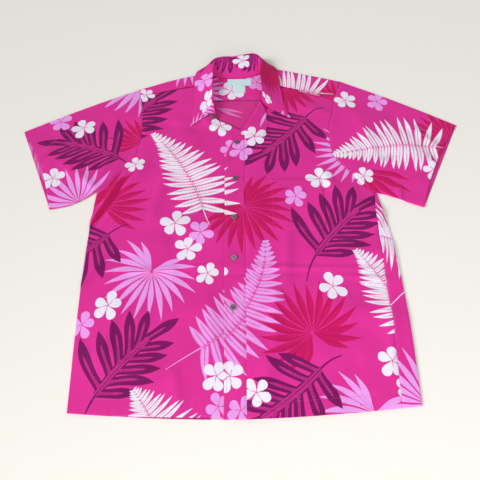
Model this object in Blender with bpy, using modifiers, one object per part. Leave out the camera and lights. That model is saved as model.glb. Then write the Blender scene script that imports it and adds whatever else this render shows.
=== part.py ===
"""A short-sleeved camp shirt in printed cotton, buttoned and laid flat on its back, front up.

Every place on the shirt is written as (across, up) in millimetres: across runs from the viewer's left
to right with 0 midway between the sleeve ends, up runs from the hem towards the collar. height is above
the surface that the shirt lies on. "Left" and "right" are the wearer's, so front_right is the panel on the
viewer's left. The cloth is in two layers: the under layer lies on the surface, and the over layer lies on
it and is lifted by the folds.
"""

import math

import bpy
import numpy as np

MM = 0.001

# Driving sizes, in millimetres.
CLOTH = 1.2  # wall of one layer of cloth
COLLAR_WALL = 1.6  # two layers of cloth and the interlining
GAP = 0.3  # clearance at every seam
LAYER = CLOTH + 2 * GAP  # a piece that lies on a panel is moved out by this
UNDER = CLOTH / 2  # middle height of the under layer
OVER = 3.0  # middle height of the over layer where it lies flat
MIDDLE_UP = 433.3  # from the hem to the middle of the shirt's length
CENTRE_FRONT = -16  # across, the line of the buttons
PLACKET_EDGE = -36.5  # across, the placket's free edge
SEAM_FOOT, SEAM_LEAN = 2.5, 0.0133  # the placket's seam: across at the hem, and its lean per mm up
LAP_END, LAP_RUN = 76.5, 60  # the left front comes down to the right front over this run, ending here
NECK_LIFT = 1.6  # the seams and the double yoke lift the over layer round the neck
NECK_CENTRE = (-8, 762)
NECK_REACH = 120
YOKE_SEAM_UP = 727
PIT_CLEAR = 2.0  # the sleeves start this much above the side folds
PANEL_COLUMNS = 12  # faces across a front
BACK_COLUMNS = 14
BODY_ROWS = 12  # faces from hem to armpit
RIGHT_ROWS, LEFT_ROWS, BACK_ROWS = 14, 16, 8  # faces from armpit to shoulder, fronts and back
FOLD_STEPS = 4  # faces round a fold
YOKE_STEPS = 4  # faces on each flat of the yoke
NECK_COLUMNS = 8
SLEEVE_STEPS = 9
COLLAR_STEPS, COLLAR_CURVE = 34, 3  # faces along the collar, and round each of its two bends
LAPEL_ROWS, LAPEL_COLUMNS = 10, 5
PLACKET_ROWS, PLACKET_COLUMNS = 12, 3
POCKET_ROWS, POCKET_COLUMNS = 6, 5
HEM_POWER = 1.7  # how the hem curves up towards the side seams

# The body's sections, hem to armpit: middle_up is at the centre front, the others are at the two side
# folds, and wrap is how far the side seams lie in from the folds, because the body has rolled round:
# under the left-hand fold and over the right-hand one.
BODY = (
    # middle_up, left_up, left, right_up, right, wrap
    (0, 14, -305, 17, 303, 34),
    (62, 80, -309, 80, 307, 34),
    (140, 160, -314, 160, 311, 33),
    (228, 250, -318, 250, 312, 31),
    (312, 340, -320, 330, 310, 26),
    (378, 408, -320, 394, 303, 18),
    (430, 464, -316, 447, 296, 4),
)
FRONT_RIGHT_HEM = 4  # the right front's hem lies this much higher at the centre

# Sections of each front from armpit to shoulder seam: the armhole edge and the inner edge.
RIGHT_ARMHOLE = (
    # armhole_across, armhole_up, inner_across, inner_up
    (-316, 464, 8.2, 430),
    (-279, 503, 8.9, 484),
    (-253, 534, 9.6, 535),
    (-240, 566, 10.2, 582),
    (-234, 614, 4.5, 627),
    (-236, 657, -55, 660),
    (-241, 702, -71, 716),
    (-248, 745, -74, 778),
)
RIGHT_CORNERS = (4, 5)  # rows where the inner edge turns: top of the centre front, end of the collar
LEFT_ARMHOLE = (
    # armhole_across, armhole_up, inner_across, inner_up
    (292, 447, 8.2, 430),
    (270, 468, 8.8, 476),
    (249, 499, 9.4, 520),
    (229, 526, 10, 562),
    (214, 553, 10.5, 601),
    (209, 588, 11, 639),
    (213, 636, 27, 668),
    (227, 682, 52, 722),
    (234, 722, 70, 776),
)
LEFT_CORNERS = (5, 7)  # rows where the inner edge turns: foot and head of the lapel's roll

# The under layer's armholes, armpit to shoulder fold.
BACK_ARMHOLES = (
    # right_across, right_up, left_across, left_up
    (-312, 464, 296, 447),
    (-288, 500, 282, 484),
    (-270, 540, 266, 530),
    (-258, 590, 256, 585),
    (-251, 655, 251, 650),
    (-250, YOKE_SEAM_UP, 253, YOKE_SEAM_UP),
)

# The yoke's columns, from the right armhole round the back neck to the left one. fold is on the crease
# of the shoulder and seam is where the yoke meets the front; the back neck has neither.
YOKE_SHOULDERS = (
    # foot_across, fold_across, fold_up, seam_across, seam_up
    (-250, -254, 766, -248, 745),
    (-212, -215, 781, -210, 754),
    (-172, -174, 796, -170, 763),
    (-128, -128, 809, -125, 773),
    (-72, -70, 821, -74, 778),
    (68, 66, 833, 70, 776),
    (124, 122, 824, 120, 766),
    (170, 171, 810, 166, 752),
    (212, 216, 797, 202, 739),
    (253, 258, 784, 234, 722),
)
BACK_NECK = (
    # across, up
    (-70, 818),
    (-56, 812),
    (-28, 808),
    (0, 808),
    (28, 810),
    (50, 817),
    (66, 830),
)

# Sleeves, from armhole to cuff. The fold along the shoulder runs straight on from the yoke's, and the
# lower cuff edge lies a little further out than the upper one, so the cuff shows open.
SLEEVES = {
    "sleeve_right": dict(
        side=-1,
        fold=(-254, 766),
        cuff_fold=(-517, 634),
        cuff_foot=(-414, 418),
        under=((-342, 444), (-374, 427)),
    ),
    "sleeve_left": dict(
        side=1,
        fold=(258, 784),
        cuff_fold=(517, 634),
        cuff_foot=(392, 409),
        under=((330, 436), (362, 421)),
    ),
}
CUFF_SHOWS = 11  # how far the lower cuff edge shows past the upper one, at the middle
SLEEVE_CROWN = 4  # how far the shoulder fold bows outwards between armhole and cuff

# The collar, wearer's right end to left end: neck seam, roll line, middle of the fall, outer edge.
COLLAR = (
    # neck, roll, fall and edge, each (across, up, height)
    ((-70, 690, 6.2), (-58, 673, 12), (-73, 677, 9), (-118, 641, 7.0)),
    ((-76, 712, 6.4), (-64, 706, 17), (-84, 694, 11), (-116, 672, 7.2)),
    ((-79, 752, 6.6), (-66, 757, 22), (-92, 745, 12), (-114, 742, 7.6)),
    ((-79, 780, 6.8), (-66, 788, 24), (-94, 784, 13), (-115, 781, 8.0)),
    ((-77, 803, 6.9), (-66, 811, 25), (-94, 806, 13), (-114, 803, 8.2)),
    ((-64, 806, 5.8), (-65, 830, 26), (-92, 832, 10), (-108, 829, 4.0)),
    ((-54, 803, 4.2), (-60, 845, 27), (-78, 850, 5), (-86, 842, 0.8)),
    ((-40, 801, 4.0), (-42, 850, 28), (-46, 858, 3), (-52, 826, 0.8)),
    ((-10, 801, 4.0), (-10, 850, 29), (-11, 858, 3), (-14, 820, 0.8)),
    ((20, 802, 4.0), (20, 856, 30), (20, 863, 3), (16, 824, 0.8)),
    ((38, 806, 4.2), (37, 858, 30), (42, 866, 3), (44, 834, 0.8)),
    ((50, 812, 4.8), (50, 851, 29), (68, 856, 5), (78, 849, 0.8)),
    ((60, 816, 6.0), (54, 836, 27), (80, 841, 10), (94, 839, 4.0)),
    ((73, 808, 6.9), (54, 814, 26), (82, 811, 13), (101, 809, 8.2)),
    ((74, 785, 6.8), (54, 785, 24), (82, 782, 13), (103, 784, 8.0)),
    ((73, 752, 6.6), (55, 756, 22), (82, 744, 12), (105, 742, 7.6)),
    ((70, 728, 6.4), (55, 734, 19), (80, 713, 11), (112, 690, 7.2)),
    ((67, 713, 6.2), (54, 723, 15), (63, 702, 9.6), (124, 660, 7.0)),
)
COLLAR_ROUND = 5  # how softly the cloth turns at the roll line
BEND_LIMIT = 0.45  # a bend takes at most this much of the stretch on either side

# The lapel: the top corner of the left front, turned back along the roll line.
LAPEL = (
    # roll_across, roll_up, edge_across, edge_up
    (-4.5, 613, 3, 610),
    (4, 628, 28, 607),
    (15, 647, 51, 610),
    (26.4, 668, 62, 624),
    (38.6, 694, 65, 648),
    (45.5, 709, 64, 676),
    (49.5, 718, 60, 696),
)
LAPEL_RISE = 3.2  # how far the roll stands above the flat of the lapel
LAPEL_CURL = ((1.2, 0.1), (1.8, 1.3), (0.6, 2.7))  # the roll's section: out past the line, and rise

# The placket band: free edge and seam, hem to the foot of the lapel's roll.
PLACKET_TOP = (
    # free_across, free_up, seam_across, seam_up
    (PLACKET_EDGE, 522, 9.4, 522),
    (PLACKET_EDGE + 2, 552, 9.9, 558),
    (-26, 577, 10.3, 590),
    (-16, 595, 10.7, 615),
    (-6, 610, 11, 637),
)

POCKET = dict(left=65, right=179, foot=358, mouth=487, corner=9)

BUTTON_RADIUS = 5.7
BUTTON_THICK = 2.6
BUTTON_STEPS = 18
BUTTONS = ((-9, 589), (-13, 489), (-16, 390), (-17, 297), (-20, 194))  # on the placket
NECK_BUTTON = (-63, 671)  # on the right front, half under the end of the collar
# A button's half section, from the middle of its face to its foot: parts of radius and height.
BUTTON_SECTION = (
    (0, 0.7),
    (0.58, 0.7),
    (0.72, 1),
    (0.9, 1),
    (1, 0.7),
    (1, 0.3),
    (0.85, 0),
    (0, 0),
)

BRAND_LABEL = dict(left=-28, right=30, foot=775, head=797)
SIZE_LABEL = dict(left=-14, right=15, foot=750, head=774.6)
LABEL_WALL = 1.0
INNER_YOKE_EASE = 2  # the inner yoke stops this short of the neck seam

# The largest folds of the over layer: a soft ridge each.
FOLDS = (
    # across, up, turn (degrees), half_length, half_width, height
    (-262, 470, 58, 85, 20, 5.0),
    (-232, 330, 12, 75, 24, 3.0),
    (-118, 372, -14, 90, 24, 3.5),
    (-150, 190, 8, 95, 28, 3.0),
    (-206, 92, -16, 80, 26, 3.0),
    (-116, 600, -62, 90, 24, 2.5),
    (228, 300, 8, 80, 24, 4.5),
    (232, 180, -12, 75, 26, 3.5),
    (120, 110, 6, 110, 28, 3.0),
    (252, 420, -52, 60, 22, 4.0),
    (150, 640, 48, 80, 24, 2.5),
    (-392, 560, 28, 100, 22, 4.5),
    (-330, 650, 35, 90, 24, 3.5),
    (388, 560, -30, 100, 22, 4.5),
    (330, 640, -36, 90, 24, 3.5),
)
FOLD_END = 1.5  # a ridge fades along its length within this many half lengths

# Finishes: linear colour, roughness.
COTTON = ((0.63, 0.028, 0.21), 0.85)
SHELL = ((0.06, 0.065, 0.062), 0.35)
SATIN = ((0.62, 0.80, 0.82), 0.5)


def along(table, places, corners=()):
    """A table's rows read at fractional row numbers, on a smooth curve that may turn at the corner rows."""
    table = np.asarray(table, float)
    rows = []
    for place in places:
        first = min(int(place), len(table) - 2)
        t = place - first
        p1, p2 = table[first], table[first + 1]
        p0 = 2 * p1 - p2 if first == 0 or first in corners else table[first - 1]
        p3 = 2 * p2 - p1 if first + 2 == len(table) or first + 1 in corners else table[first + 2]
        square, cube = 2 * p0 - 5 * p1 + 4 * p2 - p3, 3 * p1 - p0 - 3 * p2 + p3
        rows.append(0.5 * (2 * p1 + (p2 - p0) * t + square * t**2 + cube * t**3))
    return np.array(rows)


def steps(first, last, count):
    return [first + (last - first) * i / count for i in range(count + 1)]


def smoothstep(t):
    t = min(max(t, 0.0), 1.0)
    return t * t * (3 - 2 * t)


def over(across, up):
    """Middle height of the over layer: flat, plus the lift round the neck and the soft ridges."""
    from_neck = math.hypot(across - NECK_CENTRE[0], up - NECK_CENTRE[1])
    height = OVER + NECK_LIFT * smoothstep(2 - from_neck / NECK_REACH)
    for centre, centre_up, turn, half_length, half_width, rise in FOLDS:
        angle = math.radians(turn)
        dx, dy = across - centre, up - centre_up
        run = (dx * math.cos(angle) + dy * math.sin(angle)) / half_length
        off = (dy * math.cos(angle) - dx * math.sin(angle)) / half_width
        height += rise * math.exp(-off * off) * smoothstep(FOLD_END - abs(run))
    return height


def lapped(across, up):
    """Middle height of the left front and its placket, which lie on the right front at the centre."""
    return over(across, up) + LAYER * smoothstep((LAP_END - across) / LAP_RUN)


def placket_seam(up):
    return SEAM_FOOT + SEAM_LEAN * up


def body_up(row, across):
    """Where a body section crosses this place: it curves up from the centre front to each side fold."""
    middle, left_up, left, right_up, right, _ = row
    side, side_up = (left, left_up) if across < CENTRE_FRONT else (right, right_up)
    t = abs(across - CENTRE_FRONT) / abs(side - CENTRE_FRONT)
    return middle + (side_up - middle) * min(t, 1.0) ** HEM_POWER


def body_rows():
    return along(BODY, steps(0, len(BODY) - 1, BODY_ROWS))


def right_armhole():
    return along(RIGHT_ARMHOLE, steps(0, len(RIGHT_ARMHOLE) - 1, RIGHT_ROWS), RIGHT_CORNERS)


def left_armhole():
    return along(LEFT_ARMHOLE, steps(0, len(LEFT_ARMHOLE) - 1, LEFT_ROWS), LEFT_CORNERS)


def back_armholes():
    return along(BACK_ARMHOLES, steps(0, len(BACK_ARMHOLES) - 1, BACK_ROWS))


def turn_round(edge, edge_up, side, height):
    """A half circle round a side fold, from the over layer to the under layer."""
    radius = (height - UNDER) / 2
    points = []
    for angle in steps(0, math.pi, FOLD_STEPS):
        out = radius * math.sin(angle)
        points.append((edge - side * (radius - out), edge_up, UNDER + radius + radius * math.cos(angle)))
    return points


def collection_of(name):
    collection = bpy.data.collections.new(name)
    bpy.context.scene.collection.children.link(collection)
    return collection


def material(name, finish):
    """A Principled finish with one colour."""
    colour, roughness = finish
    made = bpy.data.materials.new(name)
    made.use_nodes = True
    shader = made.node_tree.nodes["Principled BSDF"]
    shader.inputs["Base Color"].default_value = (*colour, 1)
    shader.inputs["Roughness"].default_value = roughness
    made.diffuse_color = (*colour, 1)
    return made


def add_object(name, mesh, finish):
    made = bpy.data.objects.new(name, mesh)
    mesh.materials.append(material(name + "_finish", finish))
    SHIRT.objects.link(made)
    return made


def cloth(name, grid, wall=CLOTH, keep=None, closed=False, finish=COTTON):
    """A wall of even thickness on a grid of (across, up, height) points: the grid is a loft between unlike
    sections, and Solidify gives the wall. keep(row, column) leaves cells out, and closed joins the last
    column to the first."""
    grid = np.asarray(grid, float)
    rows, columns = grid.shape[:2]
    faces = []
    for r in range(rows - 1):
        for c in range(columns if closed else columns - 1):
            if keep is None or keep(r, c):
                near, far, row_on = r * columns + c, r * columns + (c + 1) % columns, columns
                faces.append((near, far, far + row_on, near + row_on))
    used = sorted({i for face in faces for i in face})
    place = {old: new for new, old in enumerate(used)}
    points = (grid.reshape(-1, 3)[used] - (0, MIDDLE_UP, 0)) * MM
    mesh = bpy.data.meshes.new(name)
    mesh.from_pydata(points.tolist(), [], [[place[i] for i in face] for face in faces])
    mesh.shade_smooth()
    made = add_object(name, mesh, finish)
    shell = made.modifiers.new("wall", "SOLIDIFY")
    shell.thickness = wall * MM
    shell.offset = 0
    return made


def make_front_right():
    """The viewer's left: it runs under the placket, and its side edge is rolled under the left-hand fold."""
    grid = []
    body_places = steps(0, len(BODY) - 1, BODY_ROWS)
    for place, row in zip(body_places, along(BODY, body_places)):
        start, edge, edge_up, wrap = placket_seam(row[0]), row[2], row[1], row[5]
        hem_shift = FRONT_RIGHT_HEM * max(0.0, 1 - place)
        height = over(edge, edge_up)
        radius = (height - UNDER) / 2
        points = []
        for across in steps(start, edge + radius, PANEL_COLUMNS)[:-1]:
            up = body_up(row, across) + hem_shift * (across - edge) / (start - edge)
            points.append((across, up, over(across, up)))
        points += turn_round(edge, edge_up, -1, height)
        for across in steps(edge + radius, edge + wrap, 2)[1:]:
            points.append((across, body_up(row, across), UNDER))
        grid.append(points)
    pit_row = len(grid) - 1
    for row in right_armhole()[1:]:
        points = []
        for t in steps(0, 1, PANEL_COLUMNS):
            across, up = row[2] + (row[0] - row[2]) * t, row[3] + (row[1] - row[3]) * t
            points.append((across, up, over(across, up)))
        grid.append(points + [points[-1]] * (FOLD_STEPS + 2))
    return cloth("front_right", grid, keep=lambda r, c: r < pit_row or c < PANEL_COLUMNS)


def make_front_left():
    """The viewer's right: from the placket to the side seam, which the back carries round onto the front."""
    grid = []
    for row in body_rows():
        points = []
        for across in steps(placket_seam(row[0]) + GAP, row[4] - row[5] - GAP, PANEL_COLUMNS):
            up = body_up(row, across)
            points.append((across, up, lapped(across, up)))
        grid.append(points)
    for row in left_armhole()[1:]:
        points = []
        for t in steps(0, 1, PANEL_COLUMNS):
            across, up = row[2] + GAP + (row[0] - row[2] - 2 * GAP) * t, row[3] + (row[1] - row[3]) * t
            points.append((across, up, lapped(across, up)))
        grid.append(points)
    return cloth("front_left", grid)


def make_back():
    """The under layer, hem to yoke seam: its edge turns over the right-hand fold, onto the left front."""
    grid = []
    for row in body_rows():
        _, _, left, right_up, right, wrap = row
        height = lapped(right, right_up)
        radius = (height - UNDER) / 2
        points = []
        for across in steps(left + wrap + GAP, right - radius, BACK_COLUMNS)[:-1]:
            points.append((across, body_up(row, across), UNDER))
        points += turn_round(right, right_up, 1, height)[::-1]
        for across in steps(right - radius, right - wrap, 2)[1:]:
            up = body_up(row, across)
            points.append((across, up, lapped(across, up)))
        grid.append(points)
    pit_row = len(grid) - 1
    for row in back_armholes()[1:]:
        points = []
        for t in steps(0, 1, BACK_COLUMNS):
            points.append((row[0] + (row[2] - row[0]) * t, row[1] + (row[3] - row[1]) * t, UNDER))
        grid.append(points + [points[-1]] * (FOLD_STEPS + 2))
    return cloth("back", grid, keep=lambda r, c: r < pit_row or c < BACK_COLUMNS)


def make_yoke():
    """The outer yoke: flat under the back neck, then round each shoulder fold and down to the front's seam."""
    shoulder = np.asarray(YOKE_SHOULDERS, float)
    half = len(shoulder) // 2
    neck = along(BACK_NECK, steps(0, len(BACK_NECK) - 1, NECK_COLUMNS))
    foot_up = YOKE_SEAM_UP + GAP
    columns = [yoke_column(row) for row in shoulder[:half]]
    for across, up in neck[1:-1]:
        flat = [(across, foot_up + (up - foot_up) * t, UNDER) for t in steps(0, 1, YOKE_STEPS)]
        columns.append(flat + [flat[-1]] * 2 * YOKE_STEPS)
    columns += [yoke_column(row) for row in shoulder[half:]]
    grid = np.asarray(columns).transpose(1, 0, 2)
    last = len(columns) - half
    return cloth("yoke", grid, keep=lambda r, c: r < YOKE_STEPS or c < half - 1 or c >= last)


def yoke_column(row):
    """One section of the yoke over a shoulder: flat, half round, then on the over layer to the front seam."""
    foot, fold, fold_up, seam, seam_up = row
    height = over(fold, fold_up)
    radius = (height - UNDER) / 2
    foot_up = YOKE_SEAM_UP + GAP
    points = []
    for t in steps(0, 1, YOKE_STEPS):
        points.append((foot + (fold - foot) * t, foot_up + (fold_up - radius - foot_up) * t, UNDER))
    for angle in steps(0, math.pi, YOKE_STEPS)[1:]:
        bow = radius * math.sin(angle)
        points.append((fold, fold_up - radius + bow, UNDER + radius - radius * math.cos(angle)))
    for t in steps(0, 1, YOKE_STEPS)[1:]:
        across = fold + (seam - fold) * t
        up = fold_up - radius + (seam_up + 2 * GAP - fold_up + radius) * t
        points.append((across, up, over(across, up)))
    return points


def make_yoke_inner():
    """The inner yoke, which shows inside the neck: the same cut laid on the outer one."""
    neck = along(BACK_NECK, steps(0, len(BACK_NECK) - 1, NECK_COLUMNS))
    foot_up = YOKE_SEAM_UP + GAP
    height = UNDER + CLOTH + GAP
    grid = []
    for t in steps(0, 1, YOKE_STEPS):
        grid.append([(across, foot_up + (up - INNER_YOKE_EASE - foot_up) * t, height) for across, up in neck])
    return cloth("yoke_inner", grid)


def sleeve_lines(spec, t):
    """The two lines of a sleeve at t from armhole to cuff, under layer then over layer, each from the armpit
    side to the shoulder fold."""
    side = spec["side"]
    if side > 0:
        upper, lower = left_armhole()[:, :2], back_armholes()[:, 2:]
    else:
        upper, lower = right_armhole()[:, :2], back_armholes()[:, :2]
    cuff_fold, cuff_foot = np.array(spec["cuff_fold"], float), np.array(spec["cuff_foot"], float)
    outwards = np.array([cuff_fold[1] - cuff_foot[1], cuff_foot[0] - cuff_fold[0]]) * side
    outwards /= np.linalg.norm(outwards)
    lines = []
    for edge, drawn_in in ((lower, 0), (upper, CUFF_SHOWS)):
        start = np.vstack([edge, spec["fold"]]) + (side * 2 * GAP, GAP)
        start[0, 1] += PIT_CLEAR
        run = np.linspace(0, 1, len(start))[:, None]
        cuff = cuff_foot + (cuff_fold - cuff_foot) * run - outwards * drawn_in * np.sin(math.pi * run)
        line = start + (cuff - start) * t
        under = along([start[0], *spec["under"], cuff_foot], [(len(spec["under"]) + 1) * t])[0]
        line += (under - line[0]) * (1 - run) ** 3
        line += np.array([0, SLEEVE_CROWN]) * math.sin(math.pi * t) * run**2
        lines.append(line)
    return lines


def make_sleeve(name, spec):
    """A flattened tube from the armhole to the cuff, its ends open: each ring goes out on the under layer,
    half round the shoulder fold, back on the over layer and half round the fold under the arm."""
    grid = []
    for t in steps(0, 1, SLEEVE_STEPS):
        low, top = sleeve_lines(spec, t)
        foot, head = [(over(*top[k]) - UNDER) / 2 for k in (0, -1)]
        for line in (top, low):
            way = (line[-1] - line[0]) / np.linalg.norm(line[-1] - line[0])
            line[0] += way * (foot + CLOTH / 2)
            line[-1] -= way * (head + CLOTH / 2)
        ring = [(*point, UNDER) for point in low]
        for angle in steps(0, math.pi, FOLD_STEPS)[1:-1]:
            middle = low[-1] + (top[-1] - low[-1]) * angle / math.pi
            bow = middle + way * head * math.sin(angle)
            ring.append((*bow, UNDER + head * (1 - math.cos(angle))))
        ring += [(*point, over(*point)) for point in top[::-1]]
        for angle in steps(0, math.pi, FOLD_STEPS)[1:-1]:
            middle = top[0] + (low[0] - top[0]) * angle / math.pi
            bow = middle - way * foot * math.sin(angle)
            ring.append((*bow, UNDER + foot * (1 + math.cos(angle))))
        grid.append(ring)
    return cloth(name, grid, closed=True)


def rounded(corners):
    """A path through the corners, with a quadratic curve in place of each inner one."""
    corners = [np.asarray(corner, float) for corner in corners]
    path = [corners[0]]
    for before, corner, after in zip(corners, corners[1:], corners[2:]):
        back, ahead = before - corner, after - corner
        enter = corner + back * min(BEND_LIMIT, COLLAR_ROUND / np.linalg.norm(back))
        leave = corner + ahead * min(BEND_LIMIT, COLLAR_ROUND / np.linalg.norm(ahead))
        for t in steps(0, 1, COLLAR_CURVE):
            path.append(enter * (1 - t) ** 2 + corner * 2 * t * (1 - t) + leave * t**2)
    return path + [corners[-1]]


def make_collar():
    """Stand and fall in one: each station runs from the neck seam over the roll line to the outer edge, and
    behind the neck the fall's lower half is turned in on the surface."""
    table = np.asarray(COLLAR, float)
    stations = along(table.reshape(len(table), -1), steps(0, len(table) - 1, COLLAR_STEPS))
    grid = np.asarray([rounded(station.reshape(4, 3)) for station in stations])
    grid[..., 2] = np.maximum(grid[..., 2], COLLAR_WALL / 2)
    return cloth("collar", grid, wall=COLLAR_WALL)


def make_lapel():
    """The left front's top corner turned over: it curls round the roll line and lies on the front."""
    grid = []
    for row in along(LAPEL, steps(0, len(LAPEL) - 1, LAPEL_ROWS)):
        roll, edge = row[:2], row[2:]
        out = (roll - edge) / np.linalg.norm(roll - edge)
        base = lapped(*roll)
        points = [(*(roll + out * beyond), base + rise) for beyond, rise in LAPEL_CURL]
        for t in steps(0, 1, LAPEL_COLUMNS)[1:]:
            across, up = roll + (edge - roll) * t
            flap = LAYER + LAPEL_RISE * (1 - t) * min(1.0, 4 * t)
            points.append((across, up, lapped(across, up) + flap))
        grid.append(points)
    return cloth("lapel", grid)


def make_placket():
    """The band that carries the buttonholes, sewn to the left front and lying on the right front."""
    straight = steps(0, PLACKET_TOP[0][1], PLACKET_ROWS)[:-1]
    rows = [(PLACKET_EDGE, up, placket_seam(up), up) for up in straight]
    rows += [tuple(row) for row in along(PLACKET_TOP, steps(0, len(PLACKET_TOP) - 1, PLACKET_ROWS // 2))]
    grid = []
    for free_across, free_up, seam_across, seam_up in rows:
        points = []
        for t in steps(0, 1, PLACKET_COLUMNS):
            across, up = free_across + (seam_across - free_across) * t, free_up + (seam_up - free_up) * t
            points.append((across, up, lapped(across, up)))
        grid.append(points)
    return cloth("placket", grid)


def make_pocket():
    """A patch pocket cut to match the print, laid on the left front with mitred lower corners."""
    grid = []
    for up in steps(POCKET["foot"], POCKET["mouth"], POCKET_ROWS):
        draw_in = POCKET["corner"] if up == POCKET["foot"] else 0
        line = steps(POCKET["left"] + draw_in, POCKET["right"] - draw_in, POCKET_COLUMNS)
        grid.append([(across, up, lapped(across, up) + LAYER) for across in line])
    return cloth("pocket", grid)


def make_label(name, spec):
    """A bare woven label on the inner yoke."""
    height = UNDER + CLOTH + GAP + CLOTH / 2 + GAP + LABEL_WALL / 2
    left, right = spec["left"], spec["right"]
    grid = [[(left, up, height), (right, up, height)] for up in (spec["foot"], spec["head"])]
    return cloth(name, grid, wall=LABEL_WALL, finish=SATIN)


def make_button(name, across, up, panel):
    """A turned disc with a raised rim, on this panel: a profile carried round by a Screw."""
    mesh = bpy.data.meshes.new(name)
    points = [(r * BUTTON_RADIUS * MM, 0, h * BUTTON_THICK * MM) for r, h in BUTTON_SECTION]
    mesh.from_pydata(points, [(i, i + 1) for i in range(len(points) - 1)], [])
    made = add_object(name, mesh, SHELL)
    turn = made.modifiers.new("turned", "SCREW")
    turn.axis = "Z"
    turn.steps = turn.render_steps = BUTTON_STEPS
    turn.use_merge_vertices = True
    turn.merge_threshold = 0.01 * MM
    turn.use_smooth_shade = True
    seat = panel(across, up) + CLOTH / 2 + GAP
    made.location = (across * MM, (up - MIDDLE_UP) * MM, seat * MM)
    return made


for old in list(bpy.data.objects):
    bpy.data.objects.remove(old)
SHIRT = collection_of("camp_shirt")

make_back()
make_front_right()
make_front_left()
make_placket()
make_yoke()
make_yoke_inner()
for sleeve_name, sleeve_spec in SLEEVES.items():
    make_sleeve(sleeve_name, sleeve_spec)
make_collar()
make_lapel()
make_pocket()
make_label("brand_label", BRAND_LABEL)
make_label("size_label", SIZE_LABEL)
for number, (button_across, button_up) in enumerate(BUTTONS, 1):
    make_button(f"button_{number}", button_across, button_up, lapped)
make_button("button_neck", *NECK_BUTTON, over)
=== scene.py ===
"""A short-sleeved camp shirt in printed cotton poplin, buttoned and laid flat: its looks.

Every place is (across, up, height) in millimetres, as in the part's source: across from the viewer's left
to right, up from the hem to the collar, height above the surface. "Left" and "right" are the wearer's, but
for folds and edges, which are told by the viewer's side. A panel is cut from a flat chart, whose points are
the places themselves where the panel shows from above; past a fold the chart runs on, as the cloth does
when it is rolled out.
"""

import math

import bpy
import numpy as np
from mathutils import Matrix, Vector
from mathutils.geometry import delaunay_2d_cdt


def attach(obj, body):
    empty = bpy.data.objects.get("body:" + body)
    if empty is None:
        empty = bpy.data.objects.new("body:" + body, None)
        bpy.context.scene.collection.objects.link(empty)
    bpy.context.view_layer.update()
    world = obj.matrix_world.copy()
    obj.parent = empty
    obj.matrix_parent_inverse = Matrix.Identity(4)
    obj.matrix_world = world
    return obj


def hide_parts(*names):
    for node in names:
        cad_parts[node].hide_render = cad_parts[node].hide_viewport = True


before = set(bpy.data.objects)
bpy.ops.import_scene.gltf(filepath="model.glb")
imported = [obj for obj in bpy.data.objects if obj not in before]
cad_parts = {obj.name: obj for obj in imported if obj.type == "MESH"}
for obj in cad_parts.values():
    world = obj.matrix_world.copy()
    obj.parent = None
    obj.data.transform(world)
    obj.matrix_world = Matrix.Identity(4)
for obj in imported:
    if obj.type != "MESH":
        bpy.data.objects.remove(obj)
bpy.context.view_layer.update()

MM = 0.001
TAU = 2 * math.pi

# ---------------------------------------------------------------------------------------------------------
# Driving sizes, as the solids have them
# ---------------------------------------------------------------------------------------------------------

MIDDLE_UP = 433.3  # from the hem to the middle of the shirt's length
OVER = 3.6  # outer face of the over layer where it lies flat
LOWEST, SETTLE = 2.5, 0.3  # the over layer comes down no further, and how softly it settles there
LAYER = 1.8  # a piece that lies on a panel is this much higher
SHELL = 0.8  # how thick the cloth is drawn
CENTRE_FRONT = -16
PLACKET_EDGE = -36.5
SEAM_FOOT, SEAM_LEAN = 2.5, 0.0133  # the placket's seam: across at the hem, and its lean per mm up
LAP_END, LAP_RUN = 76.5, 60  # the left front comes down to the right front over this run
NECK_LIFT, NECK_CENTRE, NECK_REACH = 1.6, (-8, 762), 120
YOKE_SEAM_UP = 727
HEM_POWER = 1.7
HEM_DEPTH = 25  # double-turned hem and cuffs

BODY = (
    # middle_up, left_up, left, right_up, right, wrap
    (0, 14, -305, 17, 303, 34),
    (62, 80, -309, 80, 307, 34),
    (140, 160, -314, 160, 311, 33),
    (228, 250, -318, 250, 312, 31),
    (312, 340, -320, 330, 310, 26),
    (378, 408, -320, 394, 303, 18),
    (430, 464, -316, 447, 296, 4),
)
HEM_LEFT, HEM_RIGHT, HEM_WRAP = BODY[0][2], BODY[0][4], BODY[0][5]
FRONT_RIGHT_HEM = 4  # the right front's hem is this much higher at the placket

RIGHT_ARMHOLE = (
    # armhole_across, armhole_up, inner_across, inner_up
    (-316, 464, 8.2, 430),
    (-279, 503, 8.9, 484),
    (-253, 534, 9.6, 535),
    (-240, 566, 10.2, 582),
    (-234, 614, 4.5, 627),
    (-236, 657, -55, 660),
    (-241, 702, -71, 716),
    (-248, 745, -74, 778),
)
RIGHT_CORNERS = (4, 5)
LEFT_ARMHOLE = (
    # armhole_across, armhole_up, inner_across, inner_up
    (292, 447, 8.2, 430),
    (270, 468, 8.8, 476),
    (249, 499, 9.4, 520),
    (229, 526, 10, 562),
    (214, 553, 10.5, 601),
    (209, 588, 11, 639),
    (213, 636, 27, 668),
    (227, 682, 52, 722),
    (234, 722, 70, 776),
)
LEFT_CORNERS = (5, 7)
BACK_ARMHOLES = (
    # right_across, right_up, left_across, left_up
    (-312, 464, 296, 447),
    (-288, 500, 282, 484),
    (-270, 540, 266, 530),
    (-258, 590, 256, 585),
    (-251, 655, 251, 650),
    (-250, YOKE_SEAM_UP, 253, YOKE_SEAM_UP),
)
YOKE_SHOULDERS = (
    # foot_across, fold_across, fold_up, seam_across, seam_up
    (-250, -254, 766, -248, 745),
    (-212, -215, 781, -210, 754),
    (-172, -174, 796, -170, 763),
    (-128, -128, 809, -125, 773),
    (-72, -70, 821, -74, 778),
    (68, 66, 833, 70, 776),
    (124, 122, 824, 120, 766),
    (170, 171, 810, 166, 752),
    (212, 216, 797, 202, 739),
    (253, 258, 784, 234, 722),
)
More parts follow.
